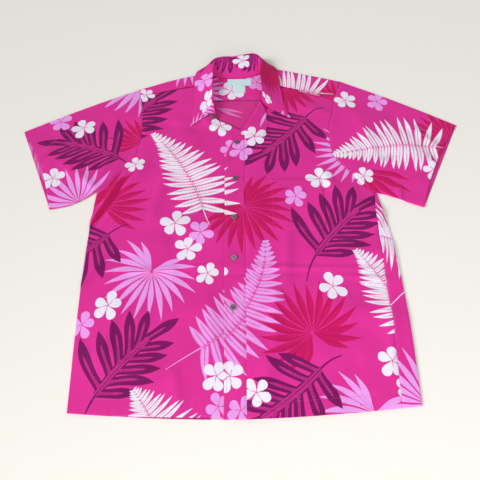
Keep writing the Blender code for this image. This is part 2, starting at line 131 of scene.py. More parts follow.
BACK_NECK = (
    # across, up
    (-70, 818),
    (-56, 812),
    (-28, 808),
    (0, 808),
    (28, 810),
    (50, 817),
    (66, 830),
)
NECK_LEFT, NECK_RIGHT = BACK_NECK[0][0], BACK_NECK[-1][0]
NECK_ROWS = (4, 5)  # rows of YOKE_SHOULDERS on each side of the neck
SLEEVES = {
    "sleeve_right": dict(
        side=-1,
        fold=(-254, 766),
        cuff_fold=(-517, 634),
        cuff_foot=(-414, 418),
        under=((-342, 444), (-374, 427)),
        sources="front_left",
        repeat=(-540, 560),
    ),
    "sleeve_left": dict(
        side=1,
        fold=(258, 784),
        cuff_fold=(517, 634),
        cuff_foot=(392, 409),
        under=((330, 436), (362, 421)),
        sources="front_right",
        repeat=(560, 700),
    ),
}
CUFF_SHOWS = 11  # the over layer's cuff is cut back by this much, so that the under one shows
SLEEVE_CROWN = 4  # how far the shoulder fold bows outwards
SLEEVE_UNDER = 1.4  # the sleeve's under layer is all below this height

COLLAR = (
    # neck, roll, fall and edge, each (across, up, height)
    ((-70, 690, 6.2), (-58, 673, 12), (-73, 677, 9), (-118, 641, 7.0)),
    ((-76, 712, 6.4), (-64, 706, 17), (-84, 694, 11), (-116, 672, 7.2)),
    ((-79, 752, 6.6), (-66, 757, 22), (-92, 745, 12), (-114, 742, 7.6)),
    ((-79, 780, 6.8), (-66, 788, 24), (-94, 784, 13), (-115, 781, 8.0)),
    ((-77, 803, 6.9), (-66, 811, 25), (-94, 806, 13), (-114, 803, 8.2)),
    ((-64, 806, 5.8), (-65, 830, 26), (-92, 832, 10), (-108, 829, 4.0)),
    ((-54, 803, 4.2), (-60, 845, 27), (-78, 850, 5), (-86, 842, 0.8)),
    ((-40, 801, 4.0), (-42, 850, 28), (-46, 858, 3), (-52, 826, 0.8)),
    ((-10, 801, 4.0), (-10, 850, 29), (-11, 858, 3), (-14, 820, 0.8)),
    ((20, 802, 4.0), (20, 856, 30), (20, 863, 3), (16, 824, 0.8)),
    ((38, 806, 4.2), (37, 858, 30), (42, 866, 3), (44, 834, 0.8)),
    ((50, 812, 4.8), (50, 851, 29), (68, 856, 5), (78, 849, 0.8)),
    ((60, 816, 6.0), (54, 836, 27), (80, 841, 10), (94, 839, 4.0)),
    ((73, 808, 6.9), (54, 814, 26), (82, 811, 13), (101, 809, 8.2)),
    ((74, 785, 6.8), (54, 785, 24), (82, 782, 13), (103, 784, 8.0)),
    ((73, 752, 6.6), (55, 756, 22), (82, 744, 12), (105, 742, 7.6)),
    ((70, 728, 6.4), (55, 734, 19), (80, 713, 11), (112, 690, 7.2)),
    ((67, 713, 6.2), (54, 723, 15), (63, 702, 9.6), (124, 660, 7.0)),
)
COLLAR_DEPTH = 92  # neck seam to outer edge over the roll line, as the chart counts it
COLLAR_STATION = 32  # from one row of the table to the next, as the chart counts it
COLLAR_LOWEST = 0.05
BEHIND_NECK, BEHIND_REACH, BEHIND_SQUEEZE = 270, 75, 0.5  # there the collar's print is drawn flatter

LAPEL = (
    # roll_across, roll_up, edge_across, edge_up
    (-4.5, 613, 3, 610),
    (4, 628, 28, 607),
    (15, 647, 51, 610),
    (26.4, 668, 62, 624),
    (38.6, 694, 65, 648),
    (45.5, 709, 64, 676),
    (49.5, 718, 60, 696),
)
LAPEL_RISE, LAPEL_SPRING, LAPEL_FALL = 3.2, 6, 40  # it rises over the spring and sinks over the fall
LAPEL_CURL = 2.5  # radius at the roll

PLACKET_TOP = (
    # free_across, free_up, seam_across, seam_up
    (PLACKET_EDGE, 522, 9.4, 522),
    (PLACKET_EDGE + 2, 552, 9.9, 558),
    (-26, 577, 10.3, 590),
    (-16, 595, 10.7, 615),
    (-6, 610, 11, 637),
)
PLACKET_TURN, PLACKET_HEAD = 522, 637  # where its free edge starts to curve, and its top
POCKET = dict(left=65, right=179, foot=358, mouth=487, corner=9)
POCKET_EDGE, POCKET_PUFF, POCKET_SOFT = 0.45, 0.25, 5  # of a layer at its edge, and how much more inwards

BUTTON_RADIUS, BUTTON_THICK = 5.7, 2.6
BUTTON_FACE = ((0, 0.5, 0.66, 0.8, 0.9, 1), (0.74, 0.74, 0.96, 1, 0.93, 0.55))  # of radius, of thickness
BUTTON_HOLE, BUTTON_HOLE_OUT = 0.8, 1.35  # a hole's radius, and its middle's place across and up
BUTTON_CORNERS, BUTTON_SPACING, BUTTON_LIFT, BUTTON_WALL = 36, 0.7, 0.3, 0.5  # the wall is of the thickness
BUTTON_THREAD, THREAD_SEAT = (2.8, 3.4, 0.5), 0.78  # its pitch, length and radius; its height in the button
BUTTONS = {
    # across, up, turn (degrees) and how pale its shell is
    "button_1": (-9, 589, 12, 0.15),
    "button_2": (-13, 489, -8, 0.1),
    "button_3": (-16, 390, 31, 0.3),
    "button_4": (-17, 297, 4, 0.75),
    "button_5": (-20, 194, -20, 0.35),
    "button_neck": (-63, 671, 15, 0.0),
}
BRAND_LABEL = dict(left=-30, right=32, foot=774, head=798)
SIZE_LABEL = dict(left=-14, right=15, foot=750, head=774.6)
INNER_YOKE, INNER_RIPPLE = 3.0, 0.6  # outer face of the inner yoke, and its share of the cloth's unevenness
LABEL_EDGE, LABEL_PUFF, LABEL_SOFT = 0.5, 0.45, 3  # height at a label's edge, and how much more inwards
LABEL_GRID, LABEL_WALL = (40, 24), 0.5

# Soft ridges and troughs of the over layer. The first are the solids' own folds; the rest are finer.
FOLDS = (
    # across, up, turn (degrees), half_length, half_width, height
    (-262, 470, 58, 85, 20, 5.0),
    (-232, 330, 12, 75, 24, 3.0),
    (-118, 372, -14, 90, 24, 3.5),
    (-150, 190, 8, 95, 28, 3.0),
    (-206, 92, -16, 80, 26, 3.0),
    (-116, 600, -62, 90, 24, 2.5),
    (228, 300, 8, 80, 24, 4.5),
    (232, 180, -12, 75, 26, 3.5),
    (120, 110, 6, 110, 28, 3.0),
    (252, 420, -52, 60, 22, 4.0),
    (150, 640, 48, 80, 24, 2.5),
    (-392, 560, 28, 100, 22, 4.5),
    (-330, 650, 35, 90, 24, 3.5),
    (388, 560, -30, 100, 22, 4.5),
    (330, 640, -36, 90, 24, 3.5),
)
CREASES = (
    # across, up, turn (degrees), half_length, half_width, height
    (-294, 434, 64, 75, 6, 6.0),
    (-283, 428, 64, 75, 6, -2.5),
    (-300, 270, 56, 36, 7, 4.1),
    (-296, 430, 40, 50, 8, -4.1),
    (150, 272, -2, 120, 5, 2.8),
    (30, 262, 1, 70, 5, -2.0),
    (-150, 276, 3, 110, 6, 2.0),
    (-215, 262, -4, 60, 5, -1.6),
    (250, 250, -6, 50, 6, 2.8),
    (-140, 505, -30, 60, 14, -3.0),
    (-60, 520, 24, 50, 12, 2.5),
    (-180, 455, 78, 60, 13, 3.2),
    (-128, 300, -72, 60, 14, -2.8),
    (90, 300, 84, 60, 12, 3.0),
    (140, 360, -58, 60, 14, -2.8),
    (200, 470, -70, 50, 12, 3.5),
    (110, 560, 62, 60, 13, -2.5),
    (180, 600, 18, 46, 10, 2.5),
    (60, 190, 88, 70, 13, 3.0),
    (-60, 150, -84, 70, 15, 3.0),
    (-250, 150, 76, 60, 12, 3.5),
    (270, 130, 80, 60, 12, 3.5),
    (190, 60, 72, 40, 12, -2.8),
    (-120, 50, -78, 36, 12, 2.8),
    (40, 60, 84, 40, 13, 2.5),
    (290, 380, 62, 40, 8, 4.1),
    (-430, 600, 52, 50, 10, 4.1),
    (-360, 500, -40, 60, 12, 4.1),
    (-300, 560, 76, 60, 11, 3.7),
    (-460, 530, 64, 40, 10, -3.0),
    (430, 600, -54, 50, 10, 4.1),
    (350, 500, 34, 60, 12, 4.6),
    (300, 590, -78, 60, 11, 3.2),
    (300, 520, 24, 44, 9, 4.6),
    (455, 520, -62, 40, 10, -3.0),
    (-190, 690, 22, 60, 13, 3.0),
    (-140, 640, -8, 50, 12, -2.5),
    (180, 690, -24, 50, 13, 3.0),
    (110, 690, 68, 40, 10, 2.5),
    (-100, 430, 8, 60, 12, 2.0),
    (120, 430, -10, 60, 12, -2.0),
    (380, 476, 31, 28, 6, 4.2),
    (346, 444, 84, 20, 6, 3.8),
    (370, 440, 18, 24, 6, -3.4),
    (-300, 480, 62, 44, 9, 4.0),
    (-60, 640, -40, 44, 9, 2.6),
)
FOLD_END = 1.5
SEAM_DRAW, HEM_DRAW, DRAW_WIDTH = 0.7, 0.45, 2.2  # how far stitching draws the cloth down, and how wide
SEAM_PUCKER, HEM_PUCKER = 0.22, 0.2  # height of the small gathers beside the stitching
SEAM_GATHERS, HEM_GATHERS, GATHERS_START = 10, 9, 1.5  # how far they reach, and where a seam's start
RIPPLE, FINE_RIPPLE = 0.22, 0.1
FINE = 8  # samples from one row of a table to the next

# ---------------------------------------------------------------------------------------------------------
# The print: four kinds of motif, drawn by the functions below and placed as listed
# ---------------------------------------------------------------------------------------------------------

INKS = {
    "ground": "#E13199",
    "white": "#F2EBFC",
    "orchid": "#EEA0F1",
    "plum": "#7C1060",
    "plum_core": "#C42C88",
    "crimson": "#D01466",
    "crimson_dark": "#C4125F",
}
INK_NAMES = list(INKS)
BACK_REPEAT, YOKE_REPEAT = (622, -34), (0, 640)  # where the fronts' print comes again past the folds
LEAF_BEND = -14  # degrees, over a split leaf's midrib
RADIAN = 57.3  # degrees
TOOTH, TOOTH_PITCH = 0.34, 3.2  # a leaflet's teeth: how deep, of its half width, and how long

FANS = (
    # panels, ink, centre, tip of the middle blade, spread (degrees)
    ("front_right placket front_left", "crimson", (6, 415), (63, 326), 290),
    ("front_right", "crimson", (-298, 424), (-204, 452), 136),
    ("front_right", "crimson", (-256, 500), (-330, 388), 36),
    ("front_left", "crimson", (126, 144), (86, 234), 300),
    ("front_left", "crimson", (111, 775), (142, 681), 150),
    ("front_left", "crimson", (113, 777), (160, 694), 150),
    ("sleeve_right", "crimson", (-231, 597), (-292, 648), 150),
    ("sleeve_left", "crimson", (262, 508), (346, 426), 82),
    ("sleeve_left", "crimson", (492, 596), (442, 672), 236),
    ("front_right", "orchid", (-181, 270), (-217, 181), 296),
    ("front_left", "orchid", (257, 558), (172, 534), 190),
    ("front_left", "orchid", (219, 6), (182, -80), 296),
    ("back", "orchid", (312, 20), (238, 78), 200),
    ("sleeve_right", "orchid", (-353, 435), (-386, 525), 170),
    ("sleeve_right", "orchid", (-252, 793), (-331, 714), 120),
    ("sleeve_right", "orchid", (-250, 794), (-338, 724), 100),
    ("yoke", "orchid", (-140, 862), (-150, 776), 130),
    ("yoke", "crimson", (240, 714), (226, 790), 100),
    ("yoke_inner", "orchid", (-116, 760), (-34, 756), 100),
    ("yoke_inner", "orchid", (-114, 756), (-34, 736), 70),
    ("lapel", "orchid", (70, 690), (56, 630), 40),
    ("back", "orchid", (654, 704), (590, 678), 30),
    ("collar", "orchid", (-30, 80), (28, 68), 110),
    ("collar", "orchid", (46, 62), (4, 24), 60),
    ("collar", "crimson", (396, 40), (486, 60), 260),
    ("collar", "crimson", (398, 42), (488, 48), 260),
    ("collar", "orchid", (580, 62), (528, 92), 50),
)
LEAVES = (
    # panels, form, hand, foot and end of the midrib, stem, its bow (degrees)
    ("sleeve_right", "upright", -1, (-280, 553), (-408, 599), 44, 40),
    ("front_right", "upright", 1, (-307, 605), (-215, 733), 20, 26),
    ("front_right", "hanging", 1, (-277, 355), (-380, 270), 48, -30),
    ("front_right", "upright", 1, (-260, 42), (-178, 141), 50, 26),
    ("front_left", "hanging", 1, (160, 664), (57, 557), 62, -46),
    ("front_left", "upright", 1, (149, 302), (245, 408), 66, 26),
    ("front_left", "hanging", 1, (136, 80), (30, -3), 50, -34),
    ("collar", "hanging", 1, (356, 62), (278, 62), 8, 10),
    ("collar", "hanging", 1, (252, 62), (176, 62), 8, 10),
)
FERNS = (
    # panels, ink, base, tip, leaflet, lean (degrees), bend (degrees), stem
    ("front_right", "white", (-82, 412), (-206, 624), 74, 17, 28, 44),
    ("placket", "white", (-68, 406), (-192, 618), 76, 17, 28, 44),
    ("front_right front_left", "orchid", (-78, 119), (60, 340), 74, -4, 62, 74),
    ("placket", "orchid", (-78, 106), (60, 327), 74, -4, 62, 74),
    ("sleeve_left", "white", (451, 568), (214, 553), 82, 0, 22, 28),
    ("front_left", "white", (309, 150), (229, 310), 72, 17, 28, 40),
    ("back", "white", (352, 316), (254, 352), 96, -30, 10, 10),
    ("back", "white", (340, 242), (424, 312), 26, 0, 10, 80),
    ("front_right", "white", (-121, -80), (-194, 50), 74, 10, 24, 30),
    ("yoke", "white", (196, 746), (20, 776), 74, 4, 4, 42),
)
BLOOMS = (
    # panels, ink, centre, direction of one petal (degrees), radius
    ("front_right", "white", (-140, 377), 90, 31),
    ("front_right", "orchid", (-87, 355), 60, 27),
    ("front_right", "white", (-112, 319), 82, 28),
    ("front_right", "white", (-70, 265), 74, 24),
    ("placket", "white", (-57, 266), 8, 26),
    ("front_right", "white", (-259, 202), 82, 29),
    ("front_right", "orchid", (-303, 165), 84, 25),
    ("front_right", "white", (-239, 531), 32, 23),
    ("front_right yoke", "white", (-235, 747), 126, 22),
    ("front_right", "white", (-47, 641), 60, 29),
    ("front_right", "white", (-50, 70), 72, 27),
    ("placket", "white", (-26, 70), 102, 27),
    ("front_right", "orchid", (-46, 20), 116, 24),
    ("placket", "orchid", (-8, 14), 66, 24),
    ("front_right", "orchid", (-20, 569), 30, 28),
    ("placket front_left", "orchid", (2, 568), 64, 29),
    ("front_left lapel", "white", (33, 607), 102, 29),
    ("front_left", "white", (174, 486), 94, 29),
    ("front_left", "orchid", (118, 441), 76, 26),
    ("front_left", "white", (175, 234), 114, 28),
    ("front_left", "white", (264, 91), 84, 27),
    ("front_left", "white", (286, 45), 70, 24),
    ("front_left", "white", (20, 42), 122, 25),
    ("sleeve_right", "white", (-374, 641), 114, 30),
    ("sleeve_right", "white", (-422, 498), 94, 28),
    ("sleeve_right", "white", (-239, 531), 32, 23),
    ("sleeve_right", "orchid", (-434, 663), 102, 29),
    ("sleeve_left", "white", (262, 718), 94, 28),
    ("sleeve_left", "orchid", (340, 713), 64, 28),
    ("sleeve_left front_left", "white", (274, 491), 102, 24),
    ("sleeve_left", "white", (433, 504), 96, 25),
    ("yoke_inner", "white", (-19, 757), 120, 32),
    ("yoke_inner", "orchid", (44, 787), 86, 29),
    ("collar", "orchid", (92, 58), 8, 30),
    ("collar", "white", (42, 46), 22, 20),
    ("collar", "white", (276, 60), 108, 26),
    ("collar", "white", (516, 38), 76, 15),
)


# ---------------------------------------------------------------------------------------------------------
# Curves and heights
# ---------------------------------------------------------------------------------------------------------


def along(table, places, corners=()):
    """A table's rows read at fractional row numbers: Catmull-Rom curves, which may turn at corner rows."""
    table, places = np.asarray(table, float), np.asarray(places, float)
    last = len(table) - 1
    first = np.clip(places.astype(int), 0, last - 1)
    t = (places - first)[:, None]
    p1, p2 = table[first], table[first + 1]
    starts = np.isin(first, (0, *corners))[:, None]
    ends = np.isin(first + 1, (last, *corners))[:, None]
    p0 = np.where(starts, 2 * p1 - p2, table[first - 1])
    p3 = np.where(ends, 2 * p2 - p1, table[np.minimum(first + 2, last)])
    square, cube = 2 * p0 - 5 * p1 + 4 * p2 - p3, 3 * p1 - p0 - 3 * p2 + p3
    return 0.5 * (2 * p1 + (p2 - p0) * t + square * t**2 + cube * t**3)


def rows_of(table, corners=(), fine=FINE):
    """A whole table as smooth curves, fine samples to a row."""
    last = len(table) - 1
    return along(table, np.linspace(0, last, last * fine + 1), corners)


def path(*lines, spacing=3.5):
    """The lines joined end to end, with points about this far apart and one at each corner."""
    points = np.vstack([np.asarray(line, float) for line in lines])
    length = np.hypot(*np.diff(points, axis=0).T)
    points = points[np.concatenate([[True], length > 1e-6])]
    run = np.concatenate([[0], np.cumsum(length[length > 1e-6])])
    steps = np.linspace(0, run[-1], max(2, int(run[-1] / spacing) + 1))
    places = np.unique(np.round(np.concatenate([steps, run]), 4))
    return np.column_stack([np.interp(places, run, points[:, k]) for k in range(points.shape[1])])


def smoothstep(t):
    """Three t squared less two t cubed: it rises from 0 to 1 as t does, level at both ends."""
    t = np.clip(t, 0, 1)
    return t * t * (3 - 2 * t)


def near(points, line):
    """Each point's distance from a line, and how far along the line its nearest place is."""
    start, step = line[:-1], np.diff(line, axis=0)
    length = np.hypot(*step.T)
    t = np.clip(((points[:, None] - start) * step).sum(2) / length**2, 0, 1)
    gap = np.hypot(*(points[:, None] - start - t[..., None] * step).transpose(2, 0, 1))
    nearest, rows = gap.argmin(1), np.arange(len(points))
    before = np.concatenate([[0], np.cumsum(length)[:-1]])
    return gap[rows, nearest], before[nearest] + t[rows, nearest] * length[nearest]


def ridges(points, table):
    """Sum of soft ridges: a Gaussian across each one, which fades towards its ends."""
    rise = np.zeros(len(points))
    for across, up, turn, half_length, half_width, height in table:
        angle = math.radians(turn)
        dx, dy = points[:, 0] - across, points[:, 1] - up
        run = (dx * math.cos(angle) + dy * math.sin(angle)) / half_length
        off = (dy * math.cos(angle) - dx * math.sin(angle)) / half_width
        rise += height * np.exp(-off * off) * smoothstep(FOLD_END - np.abs(run))
    return rise


def ripple(points):
    """The cloth's own unevenness: products of sine waves across and up, each bent by a slower one."""
    x, y = points.T
    wave = np.sin(x / 19 + 1.4 * np.sin(y / 43)) * np.sin(y / 27 + 1.2 * np.sin(x / 36))
    wave += 0.6 * np.sin((x + y) / 13 + 1.7 * np.sin((x - y) / 51))
    fine_wave = FINE_RIPPLE * np.sin(x / 7.3 + 2 * np.sin(y / 29)) * np.sin(y / 8.9 + 2 * np.sin(x / 31))
    return RIPPLE * wave + fine_wave


BODY_CURVES = rows_of(BODY)
MIDDLE, LEFT_EDGE, RIGHT_EDGE, WRAP = BODY_CURVES[:, [0, 2, 4, 5]].T
RIGHT_CURVES = rows_of(RIGHT_ARMHOLE, RIGHT_CORNERS)
LEFT_CURVES = rows_of(LEFT_ARMHOLE, LEFT_CORNERS)
BACK_CURVES = rows_of(BACK_ARMHOLES)
YOKE_CURVES = rows_of(YOKE_SHOULDERS)


def placket_seam(up):
    """How far across the placket's seam is at a place up: a straight line that leans a little."""
    return SEAM_FOOT + SEAM_LEAN * up


def body_up(row, across):
    """Where a body section crosses these places: it curves up from the centre front to each side fold."""
    middle, left_up, left, right_up, right, _ = row
    side = np.where(across < CENTRE_FRONT, left, right)
    side_up = np.where(across < CENTRE_FRONT, left_up, right_up)
    t = np.abs(across - CENTRE_FRONT) / np.abs(side - CENTRE_FRONT)
    return middle + (side_up - middle) * np.minimum(t, 1) ** HEM_POWER


def body_line(across):
    """A line up the body that is this far across at each of its sections."""
    return np.column_stack([across, body_up(BODY_CURVES.T, across)])


def front_edge():
    """The placket's seam, a point to each section of the body."""
    return np.column_stack([placket_seam(MIDDLE), MIDDLE])


def hem_line(start, end, lift=0.0):
    """The hem between two places across; the right front's lies a little higher towards the centre."""
    across = np.linspace(start, end, 90)
    up = body_up(BODY[0], across)
    return np.column_stack([across, up + lift * np.clip((across - HEM_LEFT) / -HEM_LEFT, 0, 1)])


# Seams that show from above, which draw the cloth down, and the hem, which is turned in and stitched.
SEAMS = (
    path(RIGHT_CURVES[:, :2], spacing=8),
    path(LEFT_CURVES[:, :2], spacing=8),
    path([(placket_seam(0), 0), (placket_seam(PLACKET_HEAD), PLACKET_HEAD)], spacing=20),
    path(np.column_stack([RIGHT_EDGE - WRAP, body_up(BODY_CURVES.T, RIGHT_EDGE)]), spacing=12),
    path(YOKE_CURVES[YOKE_CURVES[:, 0] < NECK_LEFT][:, 3:], spacing=12),
    path(YOKE_CURVES[YOKE_CURVES[:, 0] > NECK_RIGHT][:, 3:], spacing=12),
)
HEM = path(hem_line(HEM_LEFT, HEM_RIGHT), spacing=12)


def over(points):
    """Outer face of the over layer: the solids' form, the finer creases, and the pull of seams and hem,
    each a Gaussian trough with small waves beside it that fade away. A soft lowest height, the logarithm
    of a sum of exponentials, settles it on the under layer where a trough would go through."""
    from_neck = np.hypot(*(points - NECK_CENTRE).T)
    height = OVER + NECK_LIFT * smoothstep(2 - from_neck / NECK_REACH)
    height += ridges(points, FOLDS) + ridges(points, CREASES) + ripple(points)
    for seam in SEAMS:
        gap, run = near(points, seam)
        height -= SEAM_DRAW * np.exp(-((gap / DRAW_WIDTH) ** 2))
        gathers = np.sin(run / 2.1 + 1.5 * np.sin(run / 23)) * (gap > GATHERS_START)
        height += SEAM_PUCKER * np.exp(-gap / SEAM_GATHERS) * gathers
    gap, run = near(points, HEM)
    height -= HEM_DRAW * np.exp(-(((gap - HEM_DEPTH) / DRAW_WIDTH) ** 2))
    gathers = np.sin(run / 2.6 + 1.8 * np.sin(run / 37))
    height += HEM_PUCKER * np.exp(-np.abs(gap - HEM_DEPTH) / HEM_GATHERS) * gathers
    return LOWEST + SETTLE * np.logaddexp(0, (height - LOWEST) / SETTLE)


def lapped(points):
    """Outer face of the left front and its placket, which lie on the right front at the centre."""
    return over(points) + LAYER * smoothstep((LAP_END - points[:, 0]) / LAP_RUN)


def fold_frame(line, outward):
    """A fold as a table of how far out its edge reaches at places along it: (direction out, direction
    along, places along, reaches out)."""
    angle = math.radians(outward)
    out = np.array((math.cos(angle), math.sin(angle)))
    way = np.array((-math.sin(angle), math.cos(angle)))
    line = np.asarray(line, float)
    order = np.argsort(line @ way)
    return out, way, (line @ way)[order], (line @ out)[order]


def edge_and_radius(run, fold, top):
    """At places along a fold: how far out its edge reaches, and half the panel's height there, which is the
    radius of its roll."""
    out, way, runs, reaches = fold
    edge = np.interp(run, runs, reaches)
    return edge, top(edge[:, None] * out + run[:, None] * way) / 2


def rolled(points, fold, top):
    """Chart points to places where a panel turns under at a fold: flat up to it, half round it, and flat
    underneath, each point keeping its place along the fold."""
    out, way, _, _ = fold
    reach, run = points @ out, points @ way
    edge, radius = edge_and_radius(run, fold, top)
    beyond = reach - edge + radius
    turn = np.clip(beyond / radius, 0, math.pi)
    under = edge - radius + radius * np.sin(turn) - np.maximum(beyond - math.pi * radius, 0)
    reach = np.where(beyond < 0, reach, under)
    height = np.where(beyond < 0, top(points), radius * (1 + np.cos(turn)))
    return np.column_stack([reach[:, None] * out + run[:, None] * way, height])


def fold_lines(fold, top):
    """Chart lines along a fold, seven of them round its half turn, so that the cloth bends evenly."""
    out, way, runs, _ = fold
    run = np.arange(runs[0] - 6, runs[-1] + 6, 4.0)
    edge, radius = edge_and_radius(run, fold, top)
    turns = np.linspace(0, 1, 7)
    return [(edge + radius * (math.pi * t - 1))[:, None] * out + run[:, None] * way for t in turns]


def unrolled(places, fold, top):
    """Where places on the underside lie in the chart: the other way round from rolled."""
    places = np.asarray(places, float)
    out, way, _, _ = fold
    reach, run = places @ out, places @ way
    edge, radius = edge_and_radius(run, fold, top)
    reach = 2 * edge - reach + (math.pi - 2) * radius
    return reach[:, None] * out + run[:, None] * way


# ---------------------------------------------------------------------------------------------------------
# Motifs: each function gives a list of (outline, ink) in its own frame, root at 0 and running along +X
# ---------------------------------------------------------------------------------------------------------

# Outlines of leaf-like shapes: part of the length, part of the half width.
LEAFLET = ((0, 0.8), (0.12, 1), (0.36, 1.04), (0.62, 0.82), (0.84, 0.42), (1, 0))
BLADE = ((0, 0.03), (0.2, 0.41), (0.36, 0.78), (0.5, 1), (0.68, 0.84), (0.86, 0.4), (1, 0))
LOBE = ((0, 0.8), (0.2, 0.82), (0.45, 0.96), (0.62, 1), (0.8, 0.72), (0.92, 0.3), (1, 0))
SLOT = ((0, 1.7), (0.15, 1.0), (0.4, 0.8), (0.7, 0.85), (0.9, 0.5), (1, 0))
PETAL = ((0, 0.12), (0.2, 0.4), (0.45, 0.8), (0.68, 1), (0.86, 0.82), (0.96, 0.46), (1, 0))
STALK = ((0, 1), (1, 0.5))
WEB = ((0, 0.1), (0.1, 0.8), (0.9, 1), (1, 0.9))
STRIP = ((0, 0.2), (0.1, 0.9), (0.9, 1), (1, 0.9))

# A fern's leaflets, by share of the rib: how long they are, and how far they stand off it in degrees on
# its right (-1) and on its left (1).
FERN_REACH = ((0, 0.12, 0.28, 0.5, 0.75, 1), (0.68, 0.92, 1, 0.82, 0.42, 0.1))
FERN_SPREAD = {
    -1: ((0, 0.06, 0.15, 0.35, 0.7, 1), (136, 118, 98, 84, 72, 62)),
    1: ((0, 0.35, 0.7, 1), (104, 82, 72, 62)),
}
BARE_TIP = 5  # pairs at the tip that are too small for a ribbon
FERN_RIBBON, FERN_VEIN, FERN_STEM, LEAFLET_VEIN = 1.7, 0.55, 1.2, 0.35  # half widths, in millimetres
LEAF_STEM, LEAF_RIB, LOBE_VEIN = 2.0, 0.8, 0.4
FAN_PITCH = 16.4  # degrees from one blade of a fan to the next
FAN_BLADE = {"crimson": 0.067, "orchid": 0.057}  # a blade's half width, as a share of the fan's radius
FAN_DROOP = 34  # degrees that a blade at the side bends
FAN_SHORT, FAN_SIDE = 0.42, 148  # the last blades lose this share of their length, at this many degrees
PETALS = 5

# A split leaf's lobes: share of the midrib, length (of the midrib's), angle from it, and bend of the tip.
LOBES = {
    "upright": {
        1: (
            (0.1, 0.8, 76, 24),
            (0.31, 0.67, 63, 6),
            (0.48, 0.67, 49, -12),
            (0.66, 0.64, 45, -4),
            (0.83, 0.52, 34, 4),
        ),
        -1: (
            (0.03, 0.55, 61, 10),
            (0.18, 0.7, 42, -24),
            (0.38, 0.65, 50, 0),
            (0.58, 0.6, 49, 8),
            (0.77, 0.56, 41, 4),
        ),
    },
    "hanging": {
        1: (
            (0.07, 0.52, 74, -8),
            (0.25, 0.58, 65, 0),
            (0.44, 0.64, 54, 12),
            (0.63, 0.6, 49, 6),
            (0.82, 0.52, 34, 0),
        ),
        -1: (
            (0.05, 0.58, 72, 6),
            (0.22, 0.67, 62, -20),
            (0.42, 0.62, 58, 4),
            (0.6, 0.58, 53, 0),
            (0.79, 0.54, 45, 0),
        ),
    },
}


def blade(root, turn, length, half_width, section, bend=0.0, teeth=0, sides=(1, 1), fine=3):
    """Up one side of a middle line and down the other. The line starts in direction turn and bends evenly;
    the sides stand off it as the section says, with teeth as a small zigzag."""
    rows = rows_of(section, fine=fine)
    t, off = rows[:, 0], np.maximum(rows[:, 1], 0) * half_width
    if teeth:
        t = np.linspace(0, 1, 2 * teeth + 1)
        off = np.interp(t, rows[:, 0], off) * (1 - TOOTH * (np.arange(len(t)) % 2))
    angle = np.radians(turn + bend * t)
    step = np.diff(t, prepend=0)[:, None] * length
    way = np.column_stack([np.cos(angle), np.sin(angle)])
    middle = np.asarray(root, float) + np.cumsum(step * way, axis=0)
    side = np.column_stack([-np.sin(angle), np.cos(angle)]) * off[:, None]
    last = len(t) - (off[-1] == 0)
    return np.vstack([middle - sides[1] * side, (middle + sides[0] * side)[:last][::-1]])


def fern(ink, length, leaflet, lean, bend, stem, pairs=19):
    """A frond: pairs of toothed leaflets along a bending rib, longest at a quarter of the way and closer
    together towards the tip. Ribbons of the ground run up the rib and each leaflet, with a vein of ink."""
    k = np.arange(pairs) + 0.5
    share = 1 - (1 - k / pairs) ** 1.25
    angle = np.radians(bend * (share - 0.5))
    step = np.diff(share, prepend=0)[:, None] * length
    rib = np.cumsum(step * np.column_stack([np.cos(angle), np.sin(angle)]), axis=0)
    reach = np.interp(share, *FERN_REACH) * leaflet
    width = np.gradient(share) * length * 0.49
    spread = {side: np.interp(share, *table) for side, table in FERN_SPREAD.items()}
    tilt = lean * np.clip(share / 0.4, 0.2, 1)
    way = np.degrees(angle)
    leaflets = []
    for i in range(pairs):
        for side in (-1, 1):
            leaflets.append((i, side, way[i] + side * (spread[side][i] - side * tilt[i])))
    parts = []
    for i, side, turn in leaflets:
        curl = (8 * math.sin(2.3 * i + side) - 10) * side
        long = reach[i] * (1 - 0.11 * side)
        teeth = max(3, int(long / TOOTH_PITCH))
        parts.append((blade(rib[i], turn, long, width[i], LEAFLET, curl, teeth), ink))
    for i, side, turn in leaflets[: -2 * BARE_TIP]:
        ribbon = blade(rib[i], turn, reach[i] * 0.66, 0.15 * width[i], SLOT, -8 * side, fine=1)
        vein = blade(rib[i], turn, reach[i] * 0.6, LEAFLET_VEIN, STALK, -8 * side)
        parts += [(ribbon, "ground"), (vein, ink)]
    for half_width, name in ((FERN_RIBBON, "ground"), (FERN_VEIN, ink)):
        line = blade((0, 0), -bend / 2, length * 0.86, half_width, STALK, bend * 0.86, fine=24)
        parts.append((line, name))
    parts.append((blade((2, 0), 180 - bend / 2, stem, FERN_STEM, STALK, 6), ink))
    return parts


def fan(ink, radius, spread):
    """A palm fan: lens-shaped blades from one point, side by side near it, which droop towards the middle
    line; the ones beside the gap behind are short. A crimson fan's blades are darker along one side."""
    parts = []
    half_width = FAN_BLADE[ink] * radius
    count = round(spread / FAN_PITCH)
    for i in range(count):
        turn = spread * ((i + 0.5) / count - 0.5)
        reach = radius * (1 - FAN_SHORT * (abs(turn) / FAN_SIDE) ** 7 + 0.05 * math.sin(2.4 * i))
        droop = -FAN_DROOP * math.sin(math.radians(turn)) - 5 * math.sin(1.7 * i)
        way = math.radians(turn)
        root = (0.03 * radius * math.cos(way), 0.03 * radius * math.sin(way))
        parts.append((blade(root, turn - droop / 3, reach, half_width, BLADE, droop), ink))
        if ink == "crimson":
            dark = blade(root, turn - droop / 3, reach * 0.97, half_width, BLADE, droop, sides=(0.85, -0.1))
            parts.append((dark, "crimson_dark"))
    return parts


